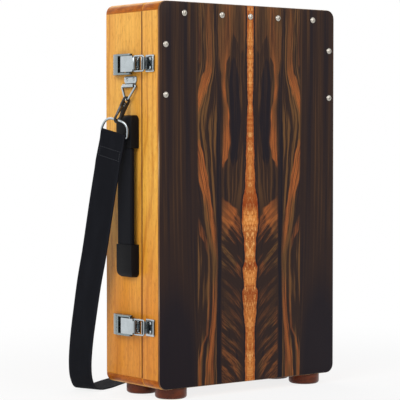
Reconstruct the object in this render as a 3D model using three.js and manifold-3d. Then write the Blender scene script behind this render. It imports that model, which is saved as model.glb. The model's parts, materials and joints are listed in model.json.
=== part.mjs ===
// A shallow folding cajon: a front shell that carries the striking panel (the tapa) and a deeper rear shell,
// hinged on the right and held shut by two over-centre draw latches on the left, with a handle and a strap.
// Millimetres, Z up. Inside the case group x runs from the left side, y back from the tapa's face and z up from
// the underside of the case. Hardware is drawn in a frame of its own: x along the wall, y out of it, z up.
import * as THREE from 'three'
import { mergeVertices } from 'three/addons/utils/BufferGeometryUtils.js'
import Module from 'manifold-3d'

const wasm = await Module()
wasm.setup()

// Case
const caseWidth = 300
const caseDepth = 120
const caseHeight = 500
const caseCorner = 12
const seamDepth = 38
const seamGap = 0.4
const seamChamfer = 1
const backChamfer = 1.5
const boardThickness = 12
const sideThickness = 15
const glueLine = 0.2

// Striking panel, back panel and battens
const tapaThickness = 3
const tapaRound = 2.5
const panelThickness = 4
const rebateWidth = 7
const soundHoleRadius = 55
const soundHoleHeight = 290
const battenWidth = 18
const battenDepth = 18

// Snare
const snareBattenDrop = 200
const snareBattenWidth = 20
const snareBattenDepth = 14
const snarePlateWidth = 44
const snarePlateHeight = 14
const snarePlateThickness = 1.5
const snareWireRadius = 0.8
const snareWireLength = 120
const snareWirePitch = 4
const snareWireCount = 10
const snareSpread = 50

// Feet
const footRadius = 21
const footHeight = 14
const footEdge = 4
const footInset = 35
const frontFootDepth = 22.5
const rearFootDepth = 86

// Screws that hold the tapa
const screwHeadRadius = 4.25
const screwHeadRise = 2.2
const screwShankRadius = 1.75
const screwLength = 20
const screwClearance = 0.35
const topScrewDrop = 15
const outerTopScrewInset = 40
const innerTopScrewShare = 0.436
const sideScrewInset = 10.2
const upperSideScrewDrop = 56
const lowerSideScrewDrop = 120.5

// Clearances and cutting
const seat = 0.3
const runningFit = 0.3
const weld = 0.2
const overrun = 5

// Hinges
const hingeInset = 80
const hingeLength = 60
const hingeLeafWidth = 22
const hingeLeafThickness = 1.5
const hingeBarrelRadius = 3.2
const hingePinRadius = 1.3
const hingePinHeadRadius = 2.4
const hingePinHead = 1
const hingeKnuckles = 5
const knuckleGap = 0.4

// Draw latches. Depths run back from the tapa's face, rises run out from the wall.
const latchInset = 80
const latchSheet = 1.4
const keeperFront = 9
const keeperLength = 19
const keeperHalfWidth = 11
const keeperBeadDepth = 2.2
const keeperBeadRise = 3.2
const lipInset = 3.5
const lipHalfWidth = 8.1
const lipRise = 10.3
const loopWireRadius = 1.2
const loopHalfWidth = 9.7
const loopBend = 2.6
const loopEndRise = 8
const loopSlack = 0.5
const loopReach = 15.5
const linkRise = 14
const linkSheet = 1.5
const linkHalfWidth = 10.2
const linkFlange = 1.2
const linkFlangeRise = 10.5
const linkFlangeSetback = 3
const linkCurlHalfWidth = 7.6
const curlEndAngle = THREE.MathUtils.degToRad(330)
const pivotSpacing = 9
const linkPivotRise = 5
const linkTail = 3
const linkPinRadius = 1.3
const linkLugRadius = 2.5
const linkLugHalfWidth = 3.5
const leverPivotSetback = 15
const leverPivotRise = 7
const leverPinRadius = 1.5
const leverHalfWidth = 13.5
const leverRail = 2.6
const leverEndRadius = 3.4
const leverWindowTail = 12.5
const leverTail = 33
const leverShoulderRise = 11
const leverTipRise = 3.4
const leverUnderRise = 2
const leverTailCorner = 6
const leverSheet = 1.6
const pivotClearance = 0.4
const baseFrontReach = 14
const baseBackReach = 19
const baseHalfWidth = 9.5
const baseEarInner = 6.6
const baseEarRadius = 2.6
const baseEarFoot = 4.5
const plateCorner = 2
const tailCurveShare = 0.62

// Places along the latch, from its keeper back to the tip of its lever
const keeperBack = keeperFront + keeperLength
const lipDepth = keeperBack - lipInset
const linkFront = lipDepth + loopReach
const linkFlangeFront = linkFront + linkFlangeSetback
const leverPivotDepth = linkFront + leverPivotSetback
const linkPivotDepth = leverPivotDepth + pivotSpacing
const linkBack = linkPivotDepth + linkTail
const leverWindowBack = linkPivotDepth + leverWindowTail
const leverBack = linkPivotDepth + leverTail
const baseFront = leverPivotDepth - baseFrontReach
const baseBack = leverPivotDepth + baseBackReach
const upperLatchHeight = caseHeight - latchInset

// Handle
const handleDrop = 1.5
const handleDepth = 60.5
const handleToLatch = 51
const handleWidth = 31
const handleRise = 12.5
const gripThickness = 6.5
const gripEdge = 2.4
const capLength = 43
const capWidth = 33
const capRise = 13
const capCorner = 7
const capNoseRise = 5
const capNoseRun = 13
const tongueWidth = 23
const tongueThickness = 3.4
const tongueLength = 17
const handleMiddle = caseHeight / 2 - handleDrop
const handleLength = caseHeight - 2 * (latchInset + leverHalfWidth + handleToLatch)

// Strap anchors: a clip, a triangular ring, a snap hook with its gate and a D-ring
const sideAnchorDepth = 61.5
const sideAnchorToLatch = 6
const rearAnchorWidth = 235
const rearAnchorHeight = 120
const sideAnchorHeight = upperLatchHeight - leverHalfWidth - sideAnchorToLatch
const clipSheet = 1.2
const clipHalfWidth = 13.5
const clipCurlHalfWidth = 11.7
const clipTop = 4
const clipDrop = 8
const clipCorner = 2
const ringWireRadius = 1.6
const ringHalfWidth = 16.4
const ringDrop = 23
const ringLean = 12.5
const ringBend = 4.4
const ringApexBend = 10
const hookTilt = 28.8
const hookEyeRadius = 3.2
const hookWall = 2.1
const hookSeat = 0.6
const hookLength = 28.3
const hookThickness = 3.2
const hookThroatStart = 12
const hookThroatEnd = 24.5
const gateRoomTop = 2.4
const gateRoomFoot = 4.4
const dRingHalfWidth = 20.9
const dRingTopHalfWidth = 17.5
const dRingHeight = 19.3
const dRingFootBend = 4.5
const dRingTopBend = 12

// Turns of the two D-rings as they hang: round the vertical, then out of level
const sideRingYaw = 23
const sideRingTilt = 16
const rearRingYaw = 23
const rearRingTilt = 0

// Strap: a flat webbing, the middle of its route and the way its width points, as x, y, z in the case group
const strapWidth = 38
const strapThickness = 2
const strapStepsPerPoint = 3
const strapRoute = [
  [-24.3, 66.9, 327], [-25.4, 72, 308], [-26.4, 78, 286], [-28, 88, 243], [-29.2, 105, 172],
  [-30, 115, 136], [-30, 125, 96], [-30, 134, 55], [-28.5, 139.7, 21.6], [-24.8, 142.3, 3],
  [-17.5, 144.7, -9], [-7, 147.8, -12.1], [9.3, 153, -12.4], [36.6, 170, -12.4], [66, 188, -12.4],
  [100, 203, -12.4], [140, 211, -12.4], [180, 207, -12.4], [208, 192, -12.4], [222, 173, -12.4],
  [228, 159, -12.1], [232, 149.5, -7.5], [234.4, 144, 4], [235, 142.3, 24], [235, 142, 45.4],
]
const strapWidthDirections = [
  [-0.376, 0.885, 0.276], [-0.38, 0.9, 0.12], [-0.39, 0.92, 0], [-0.39, 0.92, 0], [-0.38, 0.93, 0],
  [-0.36, 0.93, 0], [-0.34, 0.94, 0], [-0.32, 0.95, 0], [-0.3, 0.95, 0], [-0.3, 0.95, 0],
  [-0.3, 0.95, 0], [-0.34, 0.94, 0], [-0.45, 0.89, 0], [-0.53, 0.85, 0], [-0.46, 0.89, 0],
  [-0.32, 0.95, 0], [-0.05, 1, 0], [0.27, 0.96, 0], [0.63, 0.78, 0], [0.84, 0.54, 0],
  [0.92, 0.39, 0], [0.92, 0.39, 0], [0.92, 0.39, 0], [0.92, 0.39, 0], [0.92, 0.39, 0],
]

// Facets and shares
const cornerSteps = 5
const roundSteps = 5
const plateSteps = 2
const smallCircleSides = 12
const barrelSides = 16
const footSides = 24
const soundHoleSides = 40
const wireSides = 8
const bendSteps = 5
const roundingShare = 0.45

const looks = {
  sideWood: { color: 0xd9983f, roughness: 0.5, metalness: 0 },
  endWood: { color: 0xb2541f, roughness: 0.5, metalness: 0 },
  tapaVeneer: { color: 0x4a2c22, roughness: 0.35, metalness: 0 },
  panelPly: { color: 0xb98a55, roughness: 0.6, metalness: 0 },
  battenWood: { color: 0xcaa46a, roughness: 0.7, metalness: 0 },
  footWood: { color: 0x4b2a18, roughness: 0.45, metalness: 0 },
  chrome: { color: 0xc9ced3, roughness: 0.18, metalness: 1 },
  steel: { color: 0x9a9da1, roughness: 0.35, metalness: 1 },
  blackMetal: { color: 0x1c1d21, roughness: 0.35, metalness: 0.6 },
  blackPlastic: { color: 0x1f2023, roughness: 0.45, metalness: 0 },
  webbing: { color: 0x1d1d22, roughness: 0.9, metalness: 0 },
}

function toSolid(geometry) {
  const bare = geometry.clone()
  bare.deleteAttribute('normal')
  bare.deleteAttribute('uv')
  const merged = mergeVertices(bare)
  return new wasm.Manifold(new wasm.Mesh({
    numProp: 3,
    vertProperties: new Float32Array(merged.attributes.position.array),
    triVerts: new Uint32Array(merged.index.array),
  }))
}

function toGeometry(solid) {
  const mesh = solid.getMesh()
  const geometry = new THREE.BufferGeometry()
  geometry.setAttribute('position', new THREE.BufferAttribute(new Float32Array(mesh.vertProperties), 3))
  geometry.setIndex(new THREE.BufferAttribute(new Uint32Array(mesh.triVerts), 1))
  return geometry
}

const joined = (first, ...others) => others.reduce((solid, other) => solid.add(other), first)
const cut = (solid, ...tools) => tools.reduce((left, tool) => left.subtract(tool), solid)

function node(name, solid, look) {
  const material = new THREE.MeshStandardMaterial({ ...looks[look], flatShading: true })
  const mesh = new THREE.Mesh(toGeometry(solid), material)
  mesh.name = name
  return mesh
}

function groupOf(...children) {
  const group = new THREE.Group()
  group.add(...children)
  return group
}

function box(x0, x1, y0, y1, z0, z1) {
  const geometry = new THREE.BoxGeometry(x1 - x0, y1 - y0, z1 - z0)
  geometry.translate((x0 + x1) / 2, (y0 + y1) / 2, (z0 + z1) / 2)
  return toSolid(geometry)
}

// An outline in x and y, from z0 to z1
function slab(outline, z0, z1) {
  const geometry = new THREE.ExtrudeGeometry(outline, {
    depth: z1 - z0, bevelEnabled: false, curveSegments: roundSteps,
  })
  geometry.translate(0, 0, z0)
  return toSolid(geometry)
}

// The same outline on both sides of z = 0
const slabPair = (outline, inner, outer) => joined(slab(outline, inner, outer), slab(outline, -outer, -inner))

// An outline in x and z, from y0 to y1
function sheet(outline, y0, y1) {
  const geometry = new THREE.ExtrudeGeometry(outline, {
    depth: y1 - y0, bevelEnabled: false, curveSegments: plateSteps,
  })
  geometry.rotateX(Math.PI / 2)
  geometry.translate(0, y1, 0)
  return toSolid(geometry)
}

// An outline in y and z, from -halfWidth to halfWidth along x
function crossSlab(outline, halfWidth) {
  const geometry = new THREE.ExtrudeGeometry(outline, {
    depth: 2 * halfWidth, bevelEnabled: false, curveSegments: roundSteps,
  })
  geometry.translate(0, 0, -halfWidth)
  const turn = new THREE.Matrix4().makeBasis(
    new THREE.Vector3(0, 1, 0), new THREE.Vector3(0, 0, 1), new THREE.Vector3(1, 0, 0),
  )
  geometry.applyMatrix4(turn)
  return toSolid(geometry)
}

// A round bar along z
function roundBar(x, y, radius, z0, z1, sides = smallCircleSides) {
  const geometry = new THREE.CylinderGeometry(radius, radius, z1 - z0, sides)
  geometry.rotateX(Math.PI / 2)
  geometry.translate(x, y, (z0 + z1) / 2)
  return toSolid(geometry)
}

const roundBarPair = (x, y, radius, inner, outer) => (
  joined(roundBar(x, y, radius, inner, outer), roundBar(x, y, radius, -outer, -inner))
)

// A round bar along y, for screw holes and the sound hole
function depthBar(x, z, radius, y0, y1, sides = smallCircleSides) {
  const geometry = new THREE.CylinderGeometry(radius, radius, y1 - y0, sides)
  geometry.translate(x, (y0 + y1) / 2, z)
  return toSolid(geometry)
}

// A profile of radius and height, turned about the z axis
function turned(profile, sides) {
  const points = profile.map(([radius, height]) => new THREE.Vector2(radius, height))
  const geometry = new THREE.LatheGeometry(points, sides)
  geometry.rotateX(Math.PI / 2)
  return toSolid(geometry)
}

function quarterArc(centreX, centreY, radius, startAngle) {
  return Array.from({ length: cornerSteps + 1 }, (_, i) => {
    const angle = startAngle + (i / cornerSteps) * (Math.PI / 2)
    return [centreX + radius * Math.cos(angle), centreY + radius * Math.sin(angle)]
  })
}

function roundedRectangle(x0, x1, y0, y1, radius) {
  const shape = new THREE.Shape()
  shape.absarc(x1 - radius, y1 - radius, radius, 0, Math.PI / 2)
  shape.absarc(x0 + radius, y1 - radius, radius, Math.PI / 2, Math.PI)
  shape.absarc(x0 + radius, y0 + radius, radius, Math.PI, Math.PI * 1.5)
  shape.absarc(x1 - radius, y0 + radius, radius, Math.PI * 1.5, Math.PI * 2)
  return shape
}

function circle(x, y, radius) {
  const shape = new THREE.Shape()
  shape.absarc(x, y, radius, 0, Math.PI)
  shape.absarc(x, y, radius, Math.PI, Math.PI * 2)
  return shape
}

// A closed body from points and triangles, turned inside out if its faces point in
function closedBody(points, triangles) {
  const volume = triangles.reduce((sum, [a, b, c]) => (
    sum + points[a].dot(points[b].clone().cross(points[c]))
  ), 0)
  const outward = volume > 0 ? triangles : triangles.map(([a, b, c]) => [a, c, b])
  const geometry = new THREE.BufferGeometry().setFromPoints(points)
  geometry.setIndex(outward.flat())
  return toSolid(geometry)
}

// A closed body through equal convex rings of vectors
function loft(rings) {
  const count = rings[0].length
  const last = (rings.length - 1) * count
  const triangles = []
  for (let start = 0; start < last; start += count) {
    for (let i = 0; i < count; i += 1) {
      const next = (i + 1) % count
      triangles.push([start + i, start + next, start + count + next])
      triangles.push([start + i, start + count + next, start + count + i])
    }
  }
  for (let i = 1; i + 1 < count; i += 1) {
    triangles.push([0, i + 1, i], [last, last + i, last + i + 1])
  }
  return closedBody(rings.flat(), triangles)
}

// A closed wire through a closed path that lies in a plane
function closedWire(path, normal, radius) {
  const count = path.length
  const points = []
  const triangles = []
  path.forEach((point, i) => {
    const along = path[(i + 1) % count].clone().sub(path[(i + count - 1) % count]).normalize()
    const across = normal.clone().cross(along)
    const next = ((i + 1) % count) * wireSides
    const here = i * wireSides
    for (let side = 0; side < wireSides; side += 1) {
      const angle = (side / wireSides) * Math.PI * 2
      const nextSide = (side + 1) % wireSides
      const rim = point.clone().addScaledVector(across, radius * Math.cos(angle))
      points.push(rim.addScaledVector(normal, radius * Math.sin(angle)))
      triangles.push([here + side, next + nextSide, next + side])
      triangles.push([here + side, here + nextSide, next + nextSide])
    }
  })
  return closedBody(points, triangles)
}

// A closed polygon with bent corners, each given as [across, along, length of the bend], set in a plane in space
function bentLoop(corners, origin, across, along) {
  const flat = corners.flatMap(([x, y, bend], i) => {
    const corner = new THREE.Vector2(x, y)
    const towards = ([px, py]) => new THREE.Vector2(px, py).sub(corner).setLength(bend).add(corner)
    const before = towards(corners[(i + corners.length - 1) % corners.length])
    const after = towards(corners[(i + 1) % corners.length])
    return new THREE.QuadraticBezierCurve(before, corner, after).getPoints(bendSteps)
  })
  return flat.map(({ x, y }) => origin.clone().addScaledVector(across, x).addScaledVector(along, y))
}

// Case: a blank of the whole outline is cut into boards that meet at glue lines

const innerLeft = sideThickness
const innerRight = caseWidth - sideThickness
const innerLow = boardThickness
const innerHigh = caseHeight - boardThickness

function caseRing(inset, y) {
  const radius = caseCorner - inset
  const left = inset + radius
  const low = inset + radius
  const centres = [
    [caseWidth - left, caseHeight - low], [left, caseHeight - low], [left, low], [caseWidth - left, low],
  ]
  return centres.flatMap(([x, z], quarter) => (
    quarterArc(x, z, radius, quarter * (Math.PI / 2)).map(([px, pz]) => new THREE.Vector3(px, y, pz))
  ))
}

// The four boards of a shell, each as its own part of the blank
function shellBoards(blank) {
  const region = (x0, x1, z0, z1) => blank.intersect(box(x0, x1, -overrun, caseDepth + overrun, z0, z1))
  return {
    top: region(-overrun, caseWidth + overrun, innerHigh, caseHeight + overrun),
    bottom: region(-overrun, caseWidth + overrun, -overrun, innerLow),
    left: region(-overrun, innerLeft, innerLow + glueLine, innerHigh - glueLine),
    right: region(innerRight, caseWidth + overrun, innerLow + glueLine, innerHigh - glueLine),
  }
}

const topScrewPlaces = [-1, -innerTopScrewShare, 0, innerTopScrewShare, 1]
  .map((share) => [caseWidth / 2 + share * (caseWidth / 2 - outerTopScrewInset), caseHeight - topScrewDrop])
const sideScrewPlaces = [sideScrewInset, caseWidth - sideScrewInset].flatMap((x) => (
  [upperSideScrewDrop, lowerSideScrewDrop].map((drop) => [x, caseHeight - drop])
))
const screwPlaces = [...topScrewPlaces, ...sideScrewPlaces]

function drilled(solid, places) {
  const radius = screwShankRadius + screwClearance
  return cut(solid, ...places.map(([x, z]) => depthBar(x, z, radius, -overrun, screwLength + seat)))
}

function tapaPanel() {
  const rounded = Array.from({ length: cornerSteps + 1 }, (_, i) => {
    const angle = (i / cornerSteps) * (Math.PI / 2)
    return caseRing(tapaRound * (1 - Math.sin(angle)), tapaRound * (1 - Math.cos(angle)))
  })
  return drilled(loft([...rounded, caseRing(0, tapaThickness)]), screwPlaces)
}

// A domed head on a straight shank, turned about z and laid into the tapa
function tapaScrew(name, x, z) {
  const dome = Array.from({ length: cornerSteps }, (_, i) => {
    const angle = (i / cornerSteps) * (Math.PI / 2)
    return [screwHeadRadius * Math.cos(angle), glueLine + screwHeadRise * Math.sin(angle)]
  })
  const shank = [[0, -screwLength], [screwShankRadius, -screwLength], [screwShankRadius, glueLine]]
  const profile = [...shank, ...dome, [0, glueLine + screwHeadRise]]
  const screw = node(name, turned(profile, smallCircleSides), 'chrome')
  screw.position.set(x, 0, z)
  screw.rotation.x = Math.PI / 2
  return screw
}

function foot(name, x, y) {
  const top = footHeight - glueLine
  const bottomEdge = quarterArc(footRadius - footEdge, footEdge, footEdge, -Math.PI / 2)
  const profile = [[0, 0], ...bottomEdge, [footRadius, top], [0, top]]
  const mesh = node(name, turned(profile, footSides), 'footWood')
  mesh.position.set(x, y, -footHeight)
  return mesh
}

// Snare: a comb of wires on a plate, held against the back of the tapa by a batten

const snareWireDepth = tapaThickness + runningFit + snareWireRadius
const snareMiddle = caseHeight - snareBattenDrop

function snareWires(name, x) {
  const back = snareWireDepth + snarePlateThickness
  const plate = box(-snarePlateWidth / 2, snarePlateWidth / 2, snareWireDepth, back, 0, snarePlateHeight)
  const wires = Array.from({ length: snareWireCount }, (_, i) => {
    const across = (i - (snareWireCount - 1) / 2) * snareWirePitch
    return roundBar(across, snareWireDepth, snareWireRadius, weld, snareWireLength, wireSides)
  })
  const mesh = node(name, joined(plate, ...wires), 'steel')
  mesh.position.set(x, 0, snareMiddle - snarePlateHeight / 2)
  return mesh
}

function snareBatten() {
  const front = snareWireDepth + snarePlateThickness + seat
  const low = snareMiddle - snareBattenWidth / 2
  return box(
    innerLeft + glueLine, innerRight - glueLine, front, front + snareBattenDepth, low, low + snareBattenWidth,
  )
}

function frontShell() {
  const front = tapaThickness + glueLine
  const seam = seamDepth - seamGap / 2
  const boards = shellBoards(loft([
    caseRing(0, front), caseRing(0, seam - seamChamfer), caseRing(seamChamfer, seam),
  ]))
  const battenTop = innerHigh - glueLine
  const batten = box(
    innerLeft + glueLine, innerRight - glueLine, front, front + battenDepth, battenTop - battenWidth, battenTop,
  )
  const middle = caseWidth / 2
  const leftScrews = sideScrewPlaces.filter(([x]) => x < middle)
  const rightScrews = sideScrewPlaces.filter(([x]) => x > middle)
  return groupOf(
    node('front_left_side', drilled(boards.left, leftScrews), 'sideWood'),
    node('front_right_side', drilled(boards.right, rightScrews), 'sideWood'),
    node('front_top_rail', boards.top, 'endWood'),
    node('front_bottom_rail', boards.bottom, 'endWood'),
    node('front_top_batten', drilled(batten, topScrewPlaces), 'battenWood'),
    node('tapa', tapaPanel(), 'tapaVeneer'),
    node('snare_batten', snareBatten(), 'battenWood'),
    snareWires('left_snare_wires', middle - snareSpread),
    snareWires('right_snare_wires', middle + snareSpread),
    foot('front_left_foot', footInset, frontFootDepth),
    foot('front_right_foot', caseWidth - footInset, frontFootDepth),
    ...screwPlaces.map(([x, z], i) => tapaScrew(`tapa_screw_${i + 1}`, x, z)),
  )
}

function rearShell() {
  const seam = seamDepth + seamGap / 2
  const boards = shellBoards(loft([
    caseRing(seamChamfer, seam), caseRing(0, seam + seamChamfer),
    caseRing(0, caseDepth - backChamfer), caseRing(backChamfer, caseDepth),
  ]))
  const left = innerLeft - rebateWidth
  const right = innerRight + rebateWidth
  const low = innerLow - rebateWidth
  const high = innerHigh + rebateWidth
  const face = caseDepth - panelThickness
  const rebate = box(left, right, face - glueLine, caseDepth + overrun, low, high)
  const panel = box(left + glueLine, right - glueLine, face, caseDepth, low + glueLine, high - glueLine)
  const soundHole = depthBar(
    caseWidth / 2, soundHoleHeight, soundHoleRadius, face - overrun, caseDepth + overrun, soundHoleSides,
  )
  return groupOf(
    node('rear_left_side', cut(boards.left, rebate), 'sideWood'),
    node('rear_right_side', cut(boards.right, rebate), 'sideWood'),
    node('rear_top_board', cut(boards.top, rebate), 'endWood'),
    node('rear_bottom_board', cut(boards.bottom, rebate), 'endWood'),
    node('back_panel', cut(panel, soundHole), 'panelPly'),
    foot('rear_left_foot', footInset, rearFootDepth),
    foot('rear_right_foot', caseWidth - footInset, rearFootDepth),
  )
}

// Butt hinge: z runs along the pin, x is 0 at its axis, the leaves lie on the wall at y = 0

const hingeAxisRise = seat + hingeBarrelRadius
const knucklePitch = hingeLength / hingeKnuckles

// side is 1 for a leaf towards +x and -1 for one towards -x
function hingeLeaf(side, firstKnuckle) {
  const span = (near, far) => [Math.min(side * near, side * far), Math.max(side * near, side * far)]
  const near = hingeBarrelRadius + runningFit
  const top = seat + hingeLeafThickness
  const half = hingeLength / 2
  let leaf = sheet(roundedRectangle(...span(near, hingeLeafWidth), -half, half, hingeLeafThickness), seat, top)
  for (let i = firstKnuckle; i < hingeKnuckles; i += 2) {
    const low = i * knucklePitch + knuckleGap / 2 - half
    const high = low + knucklePitch - knuckleGap
    const knuckle = roundBar(0, hingeAxisRise, hingeBarrelRadius, low, high, barrelSides)
    const strip = box(...span(0, near + hingeBarrelRadius), seat, top, low, high)
    leaf = joined(leaf, knuckle, strip)
  }
  return cut(leaf, roundBar(0, hingeAxisRise, hingePinRadius + runningFit, -hingeLength, hingeLength))
}

function hingePin() {
  const end = hingeLength / 2 + runningFit
  const head = end + hingePinHead
  const profile = [
    [0, -head], [hingePinHeadRadius, -head], [hingePinHeadRadius, -end], [hingePinRadius, -end],
    [hingePinRadius, end], [hingePinHeadRadius, end], [hingePinHeadRadius, head], [0, head],
  ]
  return turned(profile, smallCircleSides).translate([0, hingeAxisRise, 0])
}

// The wall's x points to the front here, so the front leaf is the one towards +x
function hinge(prefix) {
  return groupOf(
    node(`${prefix}_hinge_front_leaf`, hingeLeaf(1, 1), 'steel'),
    node(`${prefix}_hinge_rear_leaf`, hingeLeaf(-1, 0), 'steel'),
    node(`${prefix}_hinge_pin`, hingePin(), 'steel'),
  )
}

// Draw latch: x is the depth behind the tapa's face, z is 0 at the latch's middle. The lever turns on the base's
// pins; the link turns on its own pins in the lever, set past the line of pull so that the latch stays shut.
// The link's front end is curled round the loop's back bar, and the loop's end bar lies in front of the lip.

const loopBackRise = linkRise - linkSheet - runningFit - loopWireRadius
const loopEndDepth = lipDepth - loopSlack - loopWireRadius
const railInner = leverHalfWidth - leverRail
const pinEnd = leverHalfWidth - runningFit

function latchKeeper() {
  const top = seat + latchSheet
  const outline = roundedRectangle(keeperFront, keeperBack, -keeperHalfWidth, keeperHalfWidth, plateCorner)
  const bead = roundedRectangle(
    keeperFront, keeperFront + keeperBeadDepth, seat, keeperBeadRise, keeperBeadDepth * roundingShare,
  )
  const lip = roundedRectangle(lipDepth, lipDepth + latchSheet, seat, lipRise, latchSheet * roundingShare)
  const beadHalf = keeperHalfWidth - plateCorner
  return joined(
    sheet(outline, seat, top), slab(bead, -beadHalf, beadHalf), slab(lip, -lipHalfWidth, lipHalfWidth),
  )
}

function latchBase() {
  const outline = roundedRectangle(baseFront, baseBack, -baseHalfWidth, baseHalfWidth, plateCorner)
  const ear = new THREE.Shape()
  ear.moveTo(leverPivotDepth - baseEarFoot, seat)
  ear.lineTo(leverPivotDepth + baseEarFoot, seat)
  ear.absarc(leverPivotDepth, leverPivotRise, baseEarRadius, 0, Math.PI)
  const earOuter = baseEarInner + latchSheet
  return joined(
    sheet(outline, seat, seat + latchSheet), slabPair(ear, baseEarInner, earOuter),
    roundBarPair(leverPivotDepth, leverPivotRise, leverPinRadius, baseEarInner + weld, pinEnd),
  )
}

function latchLever() {
  const tailReach = leverBack - leverWindowBack
  const tailControl = leverWindowBack + tailReach * tailCurveShare
  const side = new THREE.Shape()
  side.absarc(leverPivotDepth, leverPivotRise, leverEndRadius, Math.PI / 2, Math.PI * 1.5)
  side.lineTo(linkPivotDepth, leverUnderRise)
  side.lineTo(leverBack - leverSheet, leverUnderRise)
  side.lineTo(leverBack, leverTipRise)
  side.quadraticCurveTo(tailControl, leverShoulderRise, leverWindowBack, leverShoulderRise)
  const hollow = new THREE.Shape()
  hollow.moveTo(leverWindowBack + leverSheet, -overrun)
  hollow.lineTo(leverBack - 2 * leverSheet, -overrun)
  hollow.lineTo(leverBack - 2 * leverSheet, leverTipRise - leverSheet)
  hollow.quadraticCurveTo(
    tailControl - leverSheet, leverShoulderRise - leverSheet,
    leverWindowBack + leverSheet, leverShoulderRise - leverSheet,
  )
  const plan = new THREE.Shape()
  plan.moveTo(leverPivotDepth - leverEndRadius - overrun, -leverHalfWidth)
  plan.lineTo(leverBack - leverTailCorner, -leverHalfWidth)
  plan.absarc(leverBack - leverTailCorner, leverTailCorner - leverHalfWidth, leverTailCorner, -Math.PI / 2, 0)
  plan.absarc(leverBack - leverTailCorner, leverHalfWidth - leverTailCorner, leverTailCorner, 0, Math.PI / 2)
  plan.lineTo(leverPivotDepth - leverEndRadius - overrun, leverHalfWidth)
  const hollowHalf = leverHalfWidth - leverSheet
  const window = box(baseFront, leverWindowBack, -overrun, linkRise + overrun, -railInner, railInner)
  const wide = leverHalfWidth + overrun
  const blank = slab(side, -leverHalfWidth, leverHalfWidth).intersect(sheet(plan, -overrun, linkRise + overrun))
  return cut(
    blank, slab(hollow, -hollowHalf, hollowHalf), window,
    roundBar(leverPivotDepth, leverPivotRise, leverPinRadius + pivotClearance, -wide, wide),
    roundBar(linkPivotDepth, linkPivotRise, linkPinRadius + pivotClearance, -wide, wide),
  )
}

function latchLink() {
  const under = linkRise - linkSheet
  const flangeInner = linkHalfWidth - linkFlange
  const curlInner = loopWireRadius + runningFit
  const curlOuter = curlInner + linkSheet
  const plate = new THREE.Shape()
  plate.moveTo(linkFront - weld, under)
  plate.lineTo(linkBack - linkSheet, under)
  plate.absarc(linkBack - linkSheet, under, linkSheet, 0, Math.PI / 2)
  plate.lineTo(linkFront - weld, linkRise)
  const curl = new THREE.Shape()
  curl.absarc(linkFront, loopBackRise, curlOuter, Math.PI / 2, curlEndAngle)
  curl.absarc(linkFront, loopBackRise, curlInner, curlEndAngle, Math.PI / 2, true)
  const flange = roundedRectangle(
    linkFlangeFront, linkBack - linkSheet, linkFlangeRise, under + weld, linkFlange * roundingShare,
  )
  const lug = new THREE.Shape()
  lug.moveTo(linkPivotDepth + linkLugRadius, under + weld)
  lug.lineTo(linkPivotDepth - linkLugHalfWidth - linkFlange, under + weld)
  lug.lineTo(linkPivotDepth - linkLugHalfWidth, linkFlangeRise - linkFlange)
  lug.absarc(linkPivotDepth, linkPivotRise, linkLugRadius, Math.PI, Math.PI * 2)
  return joined(
    slab(plate, -linkHalfWidth, linkHalfWidth), slab(curl, -linkCurlHalfWidth, linkCurlHalfWidth),
    slabPair(flange, flangeInner, linkHalfWidth), slabPair(lug, flangeInner, linkHalfWidth),
    roundBarPair(linkPivotDepth, linkPivotRise, linkPinRadius, flangeInner + weld, pinEnd),
  )
}

function latchLoop() {
  const back = new THREE.Vector3(linkFront, loopBackRise, 0)
  const end = new THREE.Vector3(loopEndDepth, loopEndRise, 0)
  const length = back.distanceTo(end)
  const along = end.clone().sub(back).normalize()
  const across = new THREE.Vector3(0, 0, 1)
  const corners = [
    [-loopHalfWidth, 0, loopBend], [loopHalfWidth, 0, loopBend],
    [loopHalfWidth, length, loopBend], [-loopHalfWidth, length, loopBend],
  ]
  return closedWire(bentLoop(corners, back, across, along), across.clone().cross(along), loopWireRadius)
}

function latch(prefix) {
  return groupOf(
    node(`${prefix}_latch_keeper`, latchKeeper(), 'chrome'),
    node(`${prefix}_latch_base`, latchBase(), 'chrome'),
    node(`${prefix}_latch_lever`, latchLever(), 'chrome'),
    node(`${prefix}_latch_link`, latchLink(), 'chrome'),
    node(`${prefix}_latch_loop`, latchLoop(), 'chrome'),
  )
}

// Handle: z is 0 at its middle. The grip's tongues lie loose in slots of the two end caps.

function handleCap() {
  const nose = new THREE.Shape()
  nose.moveTo(seat, 0)
  nose.lineTo(capRise, 0)
  nose.lineTo(capRise, capLength - capNoseRun)
  nose.quadraticCurveTo(capRise, capLength, capNoseRise, capLength)
  nose.lineTo(seat, capLength)
  const half = capWidth / 2
  const plan = new THREE.Shape()
  plan.moveTo(-half, 0)
  plan.lineTo(half, 0)
  plan.absarc(half - capCorner, capLength - capCorner, capCorner, 0, Math.PI / 2)
  plan.absarc(capCorner - half, capLength - capCorner, capCorner, Math.PI / 2, Math.PI)
  const middle = handleRise - gripThickness / 2
  const slotHalf = tongueThickness / 2 + runningFit
  const slotHalfWidth = tongueWidth / 2 + runningFit
  const slot = box(
    -slotHalfWidth, slotHalfWidth, middle - slotHalf, middle + slotHalf, -overrun, tongueLength + runningFit,
  )
  return cut(crossSlab(nose, half).intersect(sheet(plan, -overrun, capRise + overrun)), slot)
}

function handleGrip() {
  const half = handleLength / 2 - capLength - runningFit
  const middle = handleRise - gripThickness / 2
  const section = roundedRectangle(
    -handleWidth / 2, handleWidth / 2, handleRise - gripThickness, handleRise, gripEdge,
  )
  const reach = half + tongueLength
  const tongue = box(
    -tongueWidth / 2, tongueWidth / 2, middle - tongueThickness / 2, middle + tongueThickness / 2, -reach, reach,
  )
  return joined(slab(section, -half, half), tongue)
}

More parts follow.
